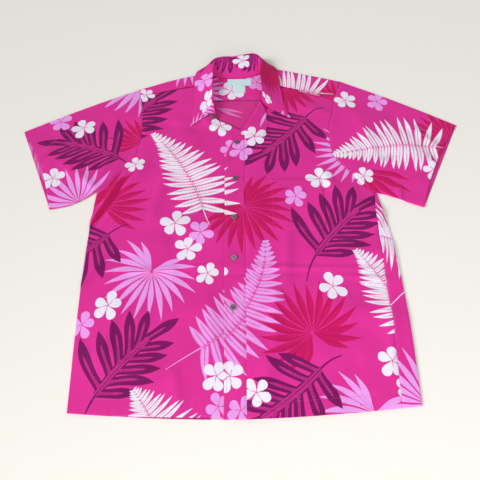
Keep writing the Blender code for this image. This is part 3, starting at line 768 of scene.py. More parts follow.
def split_leaf(length, form, hand, stem, bow):
    """A deeply cut leaf, mirrored where its hand is -1: five plum lobes a side along a bending midrib and
    one at its tip. A slot of paler red runs up each lobe from the paler strip beside the midrib, so the
    plum is a band round it. Lengths and widths are shares of the midrib's length."""
    lobes, slots, veins = [], [], []
    for side, rows in LOBES[form].items():
        for share, reach, spread, tail in rows:
            angle = LEAF_BEND * (share - 0.5)
            root = (share * length, -0.12 * LEAF_BEND / RADIAN * length * (1 - (2 * share - 1) ** 2))
            turn, bend = angle + side * spread, -side * tail
            reach *= length
            width = (0.074 + 0.006 * side) * length
            slot = blade(root, turn, reach * 0.68, 0.025 * length, SLOT, bend * 0.6, 9)
            lobes.append((blade(root, turn, reach, width, LOBE, bend), "plum"))
            slots.append((slot, "plum_core"))
            veins.append((blade(root, turn, reach * 0.4, LOBE_VEIN, STALK, bend * 0.3), "plum"))
    end = (0.95 * length, 0)
    lobes.append((blade(end, LEAF_BEND - 4, 0.57 * length, 0.074 * length, LOBE), "plum"))
    slots.append((blade(end, LEAF_BEND - 4, 0.34 * length, 0.022 * length, SLOT, 0, 9), "plum_core"))
    midrib = (0, 0), -LEAF_BEND / 2, length
    web = [(blade(*midrib, 0.064 * length, WEB, LEAF_BEND), "plum")]
    strip = [(blade(*midrib, 0.038 * length, STRIP, LEAF_BEND), "plum_core")]
    ribs = [(blade(*midrib, LEAF_RIB, STALK, LEAF_BEND), "plum")]
    stalk = [(blade((4, 0), 180 - LEAF_BEND / 2 - bow / 8, stem, LEAF_STEM, STALK, bow, fine=8), "plum")]
    parts = stalk + web + lobes + slots + strip + ribs + veins
    return [(outline * (1, hand), ink) for outline, ink in parts]


def bloom(ink, radius, seed):
    """A plumeria: five rounded petals that part near their ends, none quite like the next, with thin curved
    lines at the middle."""
    parts = []
    turns = [360 / PETALS * i + 6 * math.sin(3.7 * i + seed) for i in range(PETALS)]
    for i, turn in enumerate(turns):
        long = radius * (1 + 0.09 * math.sin(2.1 * i + 1.3 * seed))
        parts.append((blade((0, 0), turn - 4, long, 0.335 * radius, PETAL, 10), ink))
    for turn in turns:
        parts.append((blade((0.5, 0), turn + 22, 0.5 * radius, 0.022 * radius, LEAFLET, 34), "ground"))
    return parts


def placed(parts, base, tip):
    """The motif's outlines turned and moved so that they run from base towards tip."""
    base, tip = np.asarray(base, float), np.asarray(tip, float)
    way = (tip - base) / np.hypot(*(tip - base))
    turn = np.array((way, (-way[1], way[0])))
    return [(outline @ turn + base, ink) for outline, ink in parts]


def span(base, tip):
    """The straight distance between two places."""
    return math.hypot(tip[0] - base[0], tip[1] - base[1])


def motifs_on(panel):
    """Every printed outline that this panel's tables give it, in painting order."""
    found = []
    for panels, ink, centre, tip, spread in FANS:
        if panel in panels.split():
            found += placed(fan(ink, span(centre, tip), spread), centre, tip)
    for panels, form, hand, base, tip, stem, bow in LEAVES:
        if panel in panels.split():
            found += placed(split_leaf(span(base, tip), form, hand, stem, bow), base, tip)
    for panels, ink, base, tip, *spec in FERNS:
        if panel in panels.split():
            found += placed(fern(ink, span(base, tip), *spec), base, tip)
    for panels, ink, centre, turn, radius in BLOOMS:
        if panel in panels.split():
            tip = centre[0] + math.cos(math.radians(turn)), centre[1] + math.sin(math.radians(turn))
            found += placed(bloom(ink, radius, centre[0]), centre, tip)
    return found


def carried(sources, move, fold):
    """The print runs on past a fold: the motifs of other panels, moved, where they lie wholly past it."""
    out, way, runs, reaches = fold
    found = []
    for shape, ink in (motif for source in sources for motif in motifs_on(source)):
        shape = shape + move
        if (shape @ out > np.interp(shape @ way, runs, reaches) + 6).all():
            found.append((shape, ink))
    return found


def area_of(outline):
    """Signed area: positive where the outline runs counter-clockwise."""
    x, y = outline.T
    return (x * np.roll(y, -1) - y * np.roll(x, -1)).sum() / 2


def inside(points, shape):
    """Which points lie inside a closed outline: those that it goes round, whichever way it runs."""
    start, end = shape, np.roll(shape, -1, axis=0)
    x, y = points[:, :1], points[:, 1:]
    rise = end[:, 1] - start[:, 1]
    crosses = (start[:, 1] > y) != (end[:, 1] > y)
    at = start[:, 0] + (y - start[:, 1]) * (end[:, 0] - start[:, 0]) / np.where(rise == 0, 1, rise)
    return ((crosses & (x < at)) * np.sign(rise)).sum(1) != 0


def printed_chart(outline, motifs, spacing, lines=()):
    """A panel's flat chart as triangles that follow its outline, every printed edge and the lines of its
    fold: (points, triangles, the ink of each). A staggered grid fills the space between, so that the cloth
    can bend."""
    low, high = outline.min(0), outline.max(0)
    row_pitch = spacing * 0.866  # the height of a triangle with equal sides
    columns, rows = np.meshgrid(np.arange(low[0], high[0], spacing), np.arange(low[1], high[1], row_pitch))
    columns = columns + spacing / 2 * (np.arange(len(rows)) % 2)[:, None]
    grid = np.column_stack([columns.ravel(), rows.ravel()])
    outline = outline if area_of(outline) > 0 else outline[::-1]
    motifs = [motif for motif in motifs if (motif[0].max(0) > low).all() and (motif[0].min(0) < high).all()]
    strips = [*lines, *(np.vstack([shape, shape[:1]]) for shape, _ in motifs)]
    ends = len(grid) + len(outline) + np.cumsum([0] + [len(strip) for strip in strips])
    edges = [(k, k + 1) for start, end in zip(ends, ends[1:]) for k in range(start, end - 1)]
    points = [Vector(point) for point in np.vstack([grid, outline, *strips]).tolist()]
    border = list(range(len(grid), len(grid) + len(outline)))
    places, _, triangles, _, _, owners = delaunay_2d_cdt(points, edges, [border], 1, 1e-4, True)
    triangles = np.array([triangle for triangle, owner in zip(triangles, owners) if owner])
    places = np.array([tuple(place) for place in places])
    middles = places[triangles].mean(1)
    ink = np.zeros(len(triangles), int)
    for shape, name in motifs:
        held = np.flatnonzero(((middles > shape.min(0)) & (middles < shape.max(0))).all(1))
        ink[held[inside(middles[held], shape)]] = INK_NAMES.index(name)
    used, triangles = np.unique(triangles, return_inverse=True)
    return places[used], triangles.reshape(-1, 3), ink


# ---------------------------------------------------------------------------------------------------------
# Materials
# ---------------------------------------------------------------------------------------------------------


def linear(colour):
    """An sRGB hex colour as linear red, green, blue and alpha."""
    channels = np.array([int(colour[k : k + 2], 16) for k in (1, 3, 5)]) / 255
    channels = np.where(channels <= 0.04045, channels / 12.92, ((channels + 0.055) / 1.055) ** 2.4)
    return (*channels.tolist(), 1.0)


def node(tree, kind, links=(), **settings):
    """Adds a node, sets its properties and sockets by name, and links its inputs."""
    made = tree.nodes.new(kind)
    for name, value in settings.items():
        if hasattr(made, name):
            setattr(made, name, value)
        else:
            made.inputs[name.replace("_", " ")].default_value = value
    for source, output, target in links:
        tree.links.new(source.outputs[output], made.inputs[target])
    return made


def finish_named(name, roughness, **sockets):
    """A Principled material of that name: (material, tree, shader)."""
    made = bpy.data.materials.new(name)
    made.use_nodes = True
    shader = made.node_tree.nodes["Principled BSDF"]
    shader.inputs["Roughness"].default_value = roughness
    for socket, value in sockets.items():
        shader.inputs[socket.replace("_", " ")].default_value = value
    return made, made.node_tree, shader


COTTON_THREAD, SATIN_THREAD = 0.45, 0.5  # mm between threads: coarser than real ones, so that they show
WEAVE_DEPTH, SATIN_DEPTH = 0.12, 0.08  # mm from a thread's crown to the hollow beside it
WAVE_BAND = TAU / 20  # a wave texture of scale 1 has bands this far apart


def weave_bump(tree, shader, pitch, depth):
    """Plain weave: two sets of threads that cross, each a wave whose bands are one thread wide."""
    place = node(tree, "ShaderNodeTexCoord")
    scale = WAVE_BAND / (pitch * MM)
    warp = node(tree, "ShaderNodeTexWave", [(place, "Object", "Vector")], bands_direction="X", Scale=scale)
    weft = node(tree, "ShaderNodeTexWave", [(place, "Object", "Vector")], bands_direction="Y", Scale=scale)
    cross = node(tree, "ShaderNodeMath", [(warp, "Fac", 0), (weft, "Fac", 1)], operation="MULTIPLY")
    slub = node(tree, "ShaderNodeTexNoise", [(place, "Object", "Vector")], Scale=420.0, Detail=3.0)
    uneven = node(tree, "ShaderNodeMath", [(cross, 0, 0), (slub, "Fac", 1)], operation="ADD")
    bump = node(tree, "ShaderNodeBump", [(uneven, 0, "Height")], Strength=0.35, Distance=depth * MM)
    tree.links.new(bump.outputs["Normal"], shader.inputs["Normal"])
    return place


def printed_cotton(name, faded):
    """Cotton poplin, plain woven and screen printed: matt with a little nap, the ink soaked in. The wrong
    side shows the same print faded towards one pink."""
    looks = dict(Sheen_Weight=0.04, Sheen_Roughness=0.5, Specular_IOR_Level=0.16)
    made, tree, shader = finish_named(name, 0.82, **looks)
    place = weave_bump(tree, shader, COTTON_THREAD, WEAVE_DEPTH)
    ink = node(tree, "ShaderNodeAttribute", attribute_name="print")
    pale = node(tree, "ShaderNodeMix", [(ink, "Color", 6)], data_type="RGBA")
    pale.inputs[0].default_value = faded
    pale.inputs[7].default_value = linear("#D03A88")
    cloudy = node(tree, "ShaderNodeTexNoise", [(place, "Object", "Vector")], Scale=9.0, Detail=4.0)
    tone = node(tree, "ShaderNodeMapRange", [(cloudy, "Fac", "Value")])
    tone.inputs["From Min"].default_value, tone.inputs["From Max"].default_value = 0.3, 0.7
    tone.inputs["To Min"].default_value, tone.inputs["To Max"].default_value = 0.95, 1.05
    dyed = node(tree, "ShaderNodeVectorMath", [(pale, 2, 0), (tone, 0, "Scale")], operation="SCALE")
    tree.links.new(dyed.outputs[0], shader.inputs["Base Color"])
    return made


COTTON = printed_cotton("cotton_poplin_printed", 0.0)
COTTON_WRONG_SIDE = printed_cotton("cotton_poplin_wrong_side", 0.5)


def woven_satin():
    """Label satin: fine polyester yarn, smooth and a little lustrous."""
    made, tree, shader = finish_named("label_satin_woven", 0.5, Sheen_Weight=0.2)
    place = weave_bump(tree, shader, SATIN_THREAD, SATIN_DEPTH)
    cloudy = node(tree, "ShaderNodeTexNoise", [(place, "Object", "Vector")], Scale=160.0, Detail=2.0)
    tint = node(tree, "ShaderNodeMix", [(cloudy, "Fac", 0)], data_type="RGBA")
    tint.inputs[6].default_value, tint.inputs[7].default_value = linear("#C2E6EC"), linear("#DDF4F8")
    tree.links.new(tint.outputs[2], shader.inputs["Base Color"])
    return made


def polished_shell(name, pale):
    """A button cut from shell and dyed grey-brown: cloudy bands under a polished face."""
    made, tree, shader = finish_named(name, 0.28, Coat_Weight=0.4, Coat_Roughness=0.12)
    place = node(tree, "ShaderNodeTexCoord")
    clouds = dict(Scale=260.0, Detail=5.0, Distortion=1.2)
    cloudy = node(tree, "ShaderNodeTexNoise", [(place, "Object", "Vector")], **clouds)
    band = node(tree, "ShaderNodeMix", [(cloudy, "Fac", 0)], data_type="RGBA")
    dark, light = np.array(linear("#302E34")), np.array(linear("#B8B6BC"))
    band.inputs[6].default_value = dark * (1 - pale * 0.5) + light * pale * 0.5
    band.inputs[7].default_value = dark * (0.75 - pale * 0.5) + light * (0.25 + pale * 0.5)
    tree.links.new(band.outputs[2], shader.inputs["Base Color"])
    return made


def sewing_thread(name, colour):
    """Spun polyester thread: matt, with a fine twist across it."""
    made, tree, shader = finish_named(name, 0.7, Sheen_Weight=0.2)
    place = node(tree, "ShaderNodeTexCoord")
    plies = dict(bands_direction="DIAGONAL", Scale=900.0)
    twist = node(tree, "ShaderNodeTexWave", [(place, "Object", "Vector")], **plies)
    tint = node(tree, "ShaderNodeMix", [(twist, "Fac", 0)], data_type="RGBA")
    base = np.array(linear(colour))
    tint.inputs[6].default_value, tint.inputs[7].default_value = base * 0.85, base
    tree.links.new(tint.outputs[2], shader.inputs["Base Color"])
    return made


PINK_THREAD = sewing_thread("sewing_thread_pink", "#DE4A9A")
DARK_THREAD = sewing_thread("button_thread_dark", "#3C3440")
SATIN = woven_satin()

# ---------------------------------------------------------------------------------------------------------
# Pieces
# ---------------------------------------------------------------------------------------------------------


def add_mesh(name, points, faces, finishes, wall=0.0):
    """A mesh object at the origin from places in millimetres. A wall is added below the outer face, its
    inner side wearing the next finish."""
    mesh = bpy.data.meshes.new(name)
    places = (np.asarray(points, float) - (0, MIDDLE_UP, 0)) * MM
    mesh.from_pydata(places.tolist(), [], np.asarray(faces).tolist())
    for finish in finishes:
        mesh.materials.append(finish)
    mesh.shade_smooth()
    made = bpy.data.objects.new(name, mesh)
    bpy.context.scene.collection.objects.link(made)
    if wall:
        shell = made.modifiers.new("wall", "SOLIDIFY")
        shell.thickness = wall * MM
        shell.offset = -1
        shell.material_offset = len(finishes) - 1
    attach(made, "root")
    return made


def printed_piece(part, outline, lay, spacing=4.0, motifs=None, lines=()):
    """One panel of the shirt. outline is its chart's edge, lay turns chart points into places, and spacing
    is the chart's own grid."""
    motifs = motifs_on(part) if motifs is None else motifs
    chart, triangles, ink = printed_chart(outline, motifs, spacing, lines)
    made = add_mesh(part + "_cloth", lay(chart), triangles, [COTTON, COTTON_WRONG_SIDE], SHELL)
    colours = np.array([linear(INKS[name]) for name in INK_NAMES])[ink]
    layer = made.data.color_attributes.new("print", "FLOAT_COLOR", "CORNER")
    layer.data.foreach_set("color", np.repeat(colours, 3, axis=0).ravel())
    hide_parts(part)


STITCH_PITCH, STITCH_LENGTH, STITCH_RADIUS, STITCH_RIDGE = 2.8, 2.3, 0.3, 1.2
STITCH_LIFT = (0, 0, 0.1)  # above the cloth's face
ROW_SPACING = 3  # between a row's chart points
# From a piece's edge to its row of stitches.
PLACKET_ROW, YOKE_ROW, COLLAR_ROW, LAPEL_ROW, POCKET_ROW, POCKET_HEM = 4.5, 3.0, 5.0, 5.0, 2.5, 20.0
COLLAR_ROW_START = 30  # out from the neck seam
COLLAR_ROW_ENDS = (5.3, 12)  # stations where the rows of the two leaves stop beside the back of the neck
# A buttonhole, its part above the button's middle, and the bars of thread along its two sides.
HOLE_LENGTH, HOLE_ABOVE, HOLE_BAR, HOLE_PITCH, HOLE_THREAD = 15.0, 2.0, 1.7, 0.75, 0.35


def stitches(lines, pitch, length, radius):
    """Points and faces of stitches along lines of places: each a grain with a corner at both ends, at both
    sides, above and below. A stitch lies along its line, and its sides are level."""
    centres, ways = [], []
    for line in lines:
        step = np.diff(line, axis=0)
        run = np.concatenate([[0], np.cumsum(np.linalg.norm(step, axis=1))])
        at = np.arange(pitch / 2, run[-1], pitch)
        here, ahead, back = (
            np.column_stack([np.interp(at + shift, run, line[:, k]) for k in range(3)])
            for shift in (0, 0.3, -0.3)
        )
        centres.append(here)
        ways.append((ahead - back) / np.linalg.norm(ahead - back, axis=1)[:, None])
    centre, way = np.vstack(centres), np.vstack(ways)
    side = np.column_stack([-way[:, 1], way[:, 0], np.zeros(len(way))])
    side /= np.linalg.norm(side, axis=1)[:, None]
    rise = np.cross(way, side)
    around = [way * length / 2, side * radius, -way * length / 2, -side * radius]
    corners = [*around, rise * radius * STITCH_RIDGE, -rise * radius]
    points = np.stack([centre + corner for corner in corners], axis=1).reshape(-1, 3)
    above = [(0, 1, 4), (1, 2, 4), (2, 3, 4), (3, 0, 4)]
    below = [(1, 0, 5), (2, 1, 5), (3, 2, 5), (0, 3, 5)]
    grain = np.array(above + below)
    faces = (grain + 6 * np.arange(len(centre))[:, None, None]).reshape(-1, 3)
    return points, faces


def add_stitching(part, lines, lay):
    """Rows of lockstitch on a panel's face, along lines of its chart."""
    rows = [lay(path(line, spacing=ROW_SPACING)) + STITCH_LIFT for line in lines]
    grains = stitches(rows, STITCH_PITCH, STITCH_LENGTH, STITCH_RADIUS)
    made = add_mesh(part + "_stitching", *grains, [PINK_THREAD])


LEFT_FOLD = fold_frame(BODY_CURVES[:, [2, 1]], 180)
RIGHT_FOLD = fold_frame(BODY_CURVES[:, [4, 3]], 0)
SHOULDER_FOLD = fold_frame(YOKE_CURVES[:, 1:3], 90)


def lay_front_right(chart):
    """Flat on the under layer, and rolled under at the left-hand fold."""
    return rolled(chart, LEFT_FOLD, over)


def make_front_right():
    """The viewer's left: it runs under the placket, and its edge is rolled under the left-hand fold."""
    side_seam = body_line(LEFT_EDGE + WRAP)
    under_hem = hem_line(HEM_LEFT + 3, HEM_LEFT + HEM_WRAP)
    inner = front_edge()
    inner[0, 1] = FRONT_RIGHT_HEM
    outline = path(
        inner,
        RIGHT_CURVES[:, 2:],
        RIGHT_CURVES[::-1, :2],
        unrolled(side_seam[::-1], LEFT_FOLD, over),
        unrolled(under_hem[::-1], LEFT_FOLD, over),
        hem_line(HEM_LEFT, placket_seam(0), FRONT_RIGHT_HEM),
    )[:-1]
    lines = fold_lines(LEFT_FOLD, over)
    printed_piece("front_right", outline, lay_front_right, lines=lines)
    hem = hem_line(HEM_LEFT + 2, PLACKET_EDGE - 1, FRONT_RIGHT_HEM) + (0, HEM_DEPTH)
    add_stitching("front_right", [hem], lay_front_right)


def lay_lapped(chart):
    """Flat on the right front, as the left front, placket and pocket lie."""
    return np.column_stack([chart, lapped(chart)])


def make_front_left():
    """The viewer's right: from the placket to the side seam."""
    side_seam = body_line(RIGHT_EDGE - WRAP)
    outline = path(
        front_edge(),
        LEFT_CURVES[:, 2:],
        LEFT_CURVES[::-1, :2],
        side_seam[::-1],
        hem_line(HEM_RIGHT - HEM_WRAP, placket_seam(0)),
    )[:-1]
    printed_piece("front_left", outline, lay_lapped)
    hem = hem_line(placket_seam(HEM_DEPTH) + 1, HEM_RIGHT - HEM_WRAP - 1) + (0, HEM_DEPTH)
    add_stitching("front_left", [hem], lay_lapped)


def lay_back(chart):
    """From the side seam on the front, round the right-hand fold and over the whole underside."""
    return rolled(chart, RIGHT_FOLD, lapped)


def make_back():
    """The under layer. Its edge comes round the right-hand fold, so its chart starts at the seam that shows
    on the front and runs on to the right over the whole underside."""
    side_seam = body_line(RIGHT_EDGE - WRAP)
    outline = path(
        hem_line(HEM_RIGHT - HEM_WRAP, HEM_RIGHT),
        unrolled(hem_line(HEM_RIGHT - 3, HEM_LEFT + HEM_WRAP), RIGHT_FOLD, lapped),
        unrolled(body_line(LEFT_EDGE + WRAP), RIGHT_FOLD, lapped),
        unrolled(BACK_CURVES[:, :2], RIGHT_FOLD, lapped),
        unrolled(BACK_CURVES[::-1, 2:], RIGHT_FOLD, lapped),
        side_seam[::-1],
        spacing=5,
    )[:-1]
    motifs = carried(("front_right", "front_left"), BACK_REPEAT, RIGHT_FOLD) + motifs_on("back")
    lines = fold_lines(RIGHT_FOLD, lapped)
    printed_piece("back", outline, lay_back, 7, motifs, lines)
    hem = hem_line(HEM_RIGHT - HEM_WRAP + 1, HEM_RIGHT - 4) + (0, HEM_DEPTH)
    add_stitching("back", [hem], lay_back)


def make_placket():
    """The band that carries the buttonholes."""
    top = rows_of(PLACKET_TOP)
    turn = placket_seam(PLACKET_TURN), PLACKET_TURN
    outline = path(
        [(placket_seam(0), 0), turn],
        top[:, 2:],
        top[::-1, :2],
        [(PLACKET_EDGE, PLACKET_TURN), (PLACKET_EDGE, 0), (placket_seam(0), 0)],
    )[:-1]
    printed_piece("placket", outline, lay_lapped, 3)
    free = np.vstack([[(PLACKET_EDGE, 1), (PLACKET_EDGE, PLACKET_TURN)], top[1:-4, :2]]) + (PLACKET_ROW, 0)
    seam = np.vstack([[(placket_seam(1), 1), turn], top[1:-4, 2:]]) - (PLACKET_ROW, 0)
    add_stitching("placket", [free, seam], lay_lapped)
    bars = []
    for name, (across, up, _, _) in BUTTONS.items():
        if name != "button_neck":
            ups = np.arange(up + HOLE_ABOVE - HOLE_LENGTH, up + HOLE_ABOVE, HOLE_PITCH)
            bars += [[(across - HOLE_BAR, y), (across, y)] for y in ups]
            bars += [[(across, y), (across + HOLE_BAR, y)] for y in ups]
    places = [lay_lapped(np.array(bar)) + STITCH_LIFT for bar in bars]
    grains = stitches(places, HOLE_BAR, 0.8 * HOLE_BAR, HOLE_THREAD)
    add_mesh("placket_buttonholes", *grains, [PINK_THREAD])


def lay_yoke(chart):
    """The shoulder fold is a line of places up; past it the chart runs down behind."""
    return rolled(chart, SHOULDER_FOLD, over)


def make_yoke():
    """The outer yoke: from the front seams over both shoulder folds to the seam across the back."""
    left, right = YOKE_CURVES[: NECK_ROWS[0] * FINE + 1], YOKE_CURVES[NECK_ROWS[1] * FINE :]
    neck = unrolled(rows_of(BACK_NECK), SHOULDER_FOLD, over)
    back_seam = np.column_stack([YOKE_CURVES[:, 0], np.full(len(YOKE_CURVES), YOKE_SEAM_UP)])
    foot = unrolled(back_seam, SHOULDER_FOLD, over)
    outline = path(
        left[:, 3:],
        left[-1:, 1:3],
        neck,
        right[:1, 1:3],
        right[:, 3:],
        right[-1:, 1:3],
        foot[::-1],
        left[:1, 1:3],
    )
    motifs = carried(("front_right", "front_left"), YOKE_REPEAT, SHOULDER_FOLD) + motifs_on("yoke")
    printed_piece("yoke", outline, lay_yoke, 5, motifs, fold_lines(SHOULDER_FOLD, over))
    add_stitching("yoke", [left[2:, 3:] + (0, YOKE_ROW), right[:-2, 3:] + (0, YOKE_ROW)], lay_yoke)


def inner_yoke_height(points):
    """Outer face of the inner yoke: level but for part of the cloth's unevenness."""
    return INNER_YOKE + INNER_RIPPLE * ripple(points)


def make_yoke_inner():
    """The inner yoke, flat on the outer one, with the back neck's curve."""
    neck = rows_of(BACK_NECK) - (0, 2)
    foot_left, foot_right = (NECK_LEFT, YOKE_SEAM_UP), (NECK_RIGHT, YOKE_SEAM_UP)
    outline = path([foot_left, foot_right], neck[::-1], [foot_left])[:-1]

    def lay(chart):
        return np.column_stack([chart, inner_yoke_height(chart)])

    printed_piece("yoke_inner", outline, lay)


def sleeve_lines(spec):
    """The sleeve's outline from above: (armhole from armpit to shoulder fold, fold, under layer's cuff,
    over layer's cuff, line under the arm). The fold is a straight line bowed by half a sine wave."""
    curves = LEFT_CURVES if spec["side"] > 0 else RIGHT_CURVES
    fold, cuff_fold, cuff_foot = (np.array(spec[key], float) for key in ("fold", "cuff_fold", "cuff_foot"))
    t = np.linspace(0, 1, 40)[:, None]
    shoulder = fold + (cuff_fold - fold) * t + np.array((0, SLEEVE_CROWN)) * np.sin(math.pi * t)
    armpit = curves[0, :2] + (0, 2)
    under = rows_of([armpit, *spec["under"], cuff_foot])
    outwards = np.array((cuff_fold[1] - cuff_foot[1], cuff_foot[0] - cuff_fold[0])) * spec["side"]
    outwards /= np.hypot(*outwards)
    low_cuff = cuff_foot + (cuff_fold - cuff_foot) * t
    cuff = low_cuff - outwards * CUFF_SHOWS * np.sin(math.pi * t)
    return np.vstack([curves[:, :2], fold]), shoulder, low_cuff, cuff, under


def make_sleeve(name, spec):
    """A flattened tube: the chart is the over layer, and past the shoulder fold the under layer. Both close
    on half the height along the line under the arm, as a quarter circle does."""
    armhole, shoulder, low_cuff, cuff, under = sleeve_lines(spec)
    way = np.degrees(np.arctan2(*(shoulder[-1] - shoulder[0])[::-1]))
    fold = fold_frame(shoulder, way + 90 * spec["side"])
    curves = BACK_CURVES[:, 2:] if spec["side"] > 0 else BACK_CURVES[:, :2]
    back_armhole = np.vstack([under[:1], curves[1:], shoulder[:1]])
    outline = path(
        armhole,
        unrolled(back_armhole[::-1], fold, over),
        unrolled(under, fold, over),
        unrolled(low_cuff, fold, over),
        cuff[::-1],
        under[::-1],
    )[:-1]

    def lay(chart):
        places = rolled(chart, fold, over)
        gap = near(places[:, :2], under)[0]
        below = places[:, 2] < SLEEVE_UNDER
        top = over(places[:, :2])
        closing = np.sqrt(1 - (1 - np.clip(gap / (top / 2), 0, 1)) ** 2)
        height = np.where(below, top / 2 * (1 - closing), places[:, 2] / 2 * (1 + closing))
        return np.column_stack([places[:, :2], height])

    motifs = carried(spec["sources"].split(), spec["repeat"], fold) + motifs_on(name)
    printed_piece(name, outline, lay, 4, motifs, fold_lines(fold, over))
    inwards = (low_cuff - cuff).sum(0)
    hem = cuff - HEM_DEPTH * inwards / np.hypot(*inwards)
    add_stitching(name, [hem[3:-2]], lay)


def collar_surface(chart):
    """The collar's chart is millimetres along the neck and millimetres out from the neck seam. Each station
    is a Hermite curve through its four points, whose slopes there are half the step from the point before
    to the point after, run at an even pace."""
    stations = np.clip(chart[:, 0] / COLLAR_STATION, 0, len(COLLAR) - 1)
    corners = along(np.asarray(COLLAR, float).reshape(len(COLLAR), -1), stations).reshape(-1, 4, 3)
    depth = np.cumsum(np.linalg.norm(np.diff(corners, axis=1, prepend=corners[:, :1]), axis=2), axis=1)
    place = depth[:, -1] * np.clip(chart[:, 1] / COLLAR_DEPTH, 0, 1)
    first = np.clip((place[:, None] > depth).sum(1) - 1, 0, 2)
    rows = np.arange(len(place))
    local = ((place - depth[rows, first]) / (depth[rows, first + 1] - depth[rows, first]))[:, None]
    p1, p2 = corners[rows, first], corners[rows, first + 1]
    p0 = np.where((first == 0)[:, None], p1, corners[rows, np.maximum(first - 1, 0)])
    p3 = np.where((first == 2)[:, None], p2, corners[rows, np.minimum(first + 2, 3)])
    m1, m2 = (p2 - p0) * 0.5, (p3 - p1) * 0.5
    a, b = 2 * local**3 - 3 * local**2, local**3 - local**2
    places = (a + 1) * p1 - a * p2 + (b - local**2 + local) * m1 + b * m2
    places[:, 2] = np.maximum(places[:, 2], COLLAR_LOWEST)
    return places


def make_collar():
    """Stand and fall in one, from the right front's end to the left one's. Its print is drawn flatter
    behind the neck, by a factor that dips as the exponential of a fourth power."""
    length = COLLAR_STATION * (len(COLLAR) - 1)
    outline = path([(0, 0), (length, 0), (length, COLLAR_DEPTH), (0, COLLAR_DEPTH), (0, 0)], spacing=4)[:-1]
    motifs = []
    for shape, ink in motifs_on("collar"):
        behind = np.exp(-(((shape[:, 0] - BEHIND_NECK) / BEHIND_REACH) ** 4))
        squeeze = 1 - (1 - BEHIND_SQUEEZE) * behind
        motifs.append((np.column_stack([shape[:, 0], shape[:, 1] * squeeze]), ink))
    printed_piece("collar", outline, collar_surface, 4, motifs)
    edge = COLLAR_DEPTH - COLLAR_ROW
    end, start = (station * COLLAR_STATION for station in COLLAR_ROW_ENDS)
    far = length - COLLAR_ROW
    right_leaf = [(COLLAR_ROW, COLLAR_ROW_START), (COLLAR_ROW, edge), (end, edge)]
    left_leaf = [(start, edge), (far, edge), (far, COLLAR_ROW_START)]
    add_stitching("collar", [right_leaf, left_leaf], collar_surface)


def make_lapel():
    """The left front's top corner turned over: it curls round the roll line in a quarter circle, rises in a
    straight line, and sinks in another towards its edge."""
    rows = rows_of(LAPEL)
    way = math.degrees(math.atan2(rows[-1, 1] - rows[0, 1], rows[-1, 0] - rows[0, 0]))
    out, along_roll, runs, reaches = fold = fold_frame(rows[:, :2], way + 90)

    def lay(chart):
        reach, run = chart @ out, chart @ along_roll
        inwards = np.interp(run, runs, reaches) - reach
        rise = np.clip(1 - inwards / LAPEL_FALL, 0, 1) * np.clip(inwards / LAPEL_SPRING, 0, 1)
        quarter = np.sqrt(np.clip(1 - (1 - inwards / LAPEL_CURL) ** 2, 0, 1))
        curl = np.where(inwards < LAPEL_CURL, quarter, 1)
        flap = LAYER + LAPEL_RISE * rise
        return np.column_stack([chart, lapped(chart) + flap * curl])

    outline = path(rows[:, :2], rows[::-1, 2:], rows[:1, :2], spacing=3)[:-1]
    printed_piece("lapel", outline, lay, 3)
    edge = rows[2:-2, 2:]
    inwards = rows[2:-2, :2] - edge
    add_stitching("lapel", [edge + LAPEL_ROW * inwards / np.linalg.norm(inwards, axis=1)[:, None]], lay)


def make_pocket():
    """A patch pocket cut to match the print, with mitred lower corners. It rises smoothly from its edge."""
    left, right, foot, mouth, corner = (POCKET[key] for key in ("left", "right", "foot", "mouth", "corner"))
    outline = path(
        [
            (left + corner, foot),
            (right - corner, foot),
            (right, foot + 2 * corner),
            (right, mouth),
            (left, mouth),
            (left, foot + 2 * corner),
            (left + corner, foot),
        ],
        spacing=4,
    )[:-1]

    def lay(chart):
        edge = near(chart, np.vstack([outline, outline[:1]]))[0]
        puff = POCKET_EDGE + POCKET_PUFF * smoothstep(edge / POCKET_SOFT)
        return np.column_stack([chart, lapped(chart) + LAYER * puff])

    printed_piece("pocket", outline, lay, motifs=motifs_on("front_left"))
    middle = ((left + right) / 2, (foot + mouth) / 2)
    row = np.vstack([outline, outline[:1]])
    row = row + POCKET_ROW * np.sign(middle - row)
    hem = [(left + 4, mouth - POCKET_HEM), (right - 4, mouth - POCKET_HEM)]
    add_stitching("pocket", [row, hem], lay)


def make_label(name, spec, lift):
    """A bare woven label on a grid, sewn down at its edges and a little proud between."""
    columns, rows = LABEL_GRID
    x = np.linspace(spec["left"], spec["right"], columns)
    y = np.linspace(spec["foot"], spec["head"], rows)
    across, up = (part.ravel() for part in np.meshgrid(x, y))
    edge = np.minimum(np.minimum(across - spec["left"], spec["right"] - across), spec["head"] - up)
    points = np.column_stack([across, up])
    height = inner_yoke_height(points) + LABEL_EDGE + lift + LABEL_PUFF * smoothstep(edge / LABEL_SOFT)
    corner = np.arange(rows - 1)[:, None] * columns + np.arange(columns - 1)
    corners = [corner, corner + 1, corner + columns + 1, corner + columns]
    faces = np.stack(corners, axis=-1).reshape(-1, 4)
    made = add_mesh(name + "_woven", np.column_stack([points, height]), faces, [SATIN], LABEL_WALL)
    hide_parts(name)


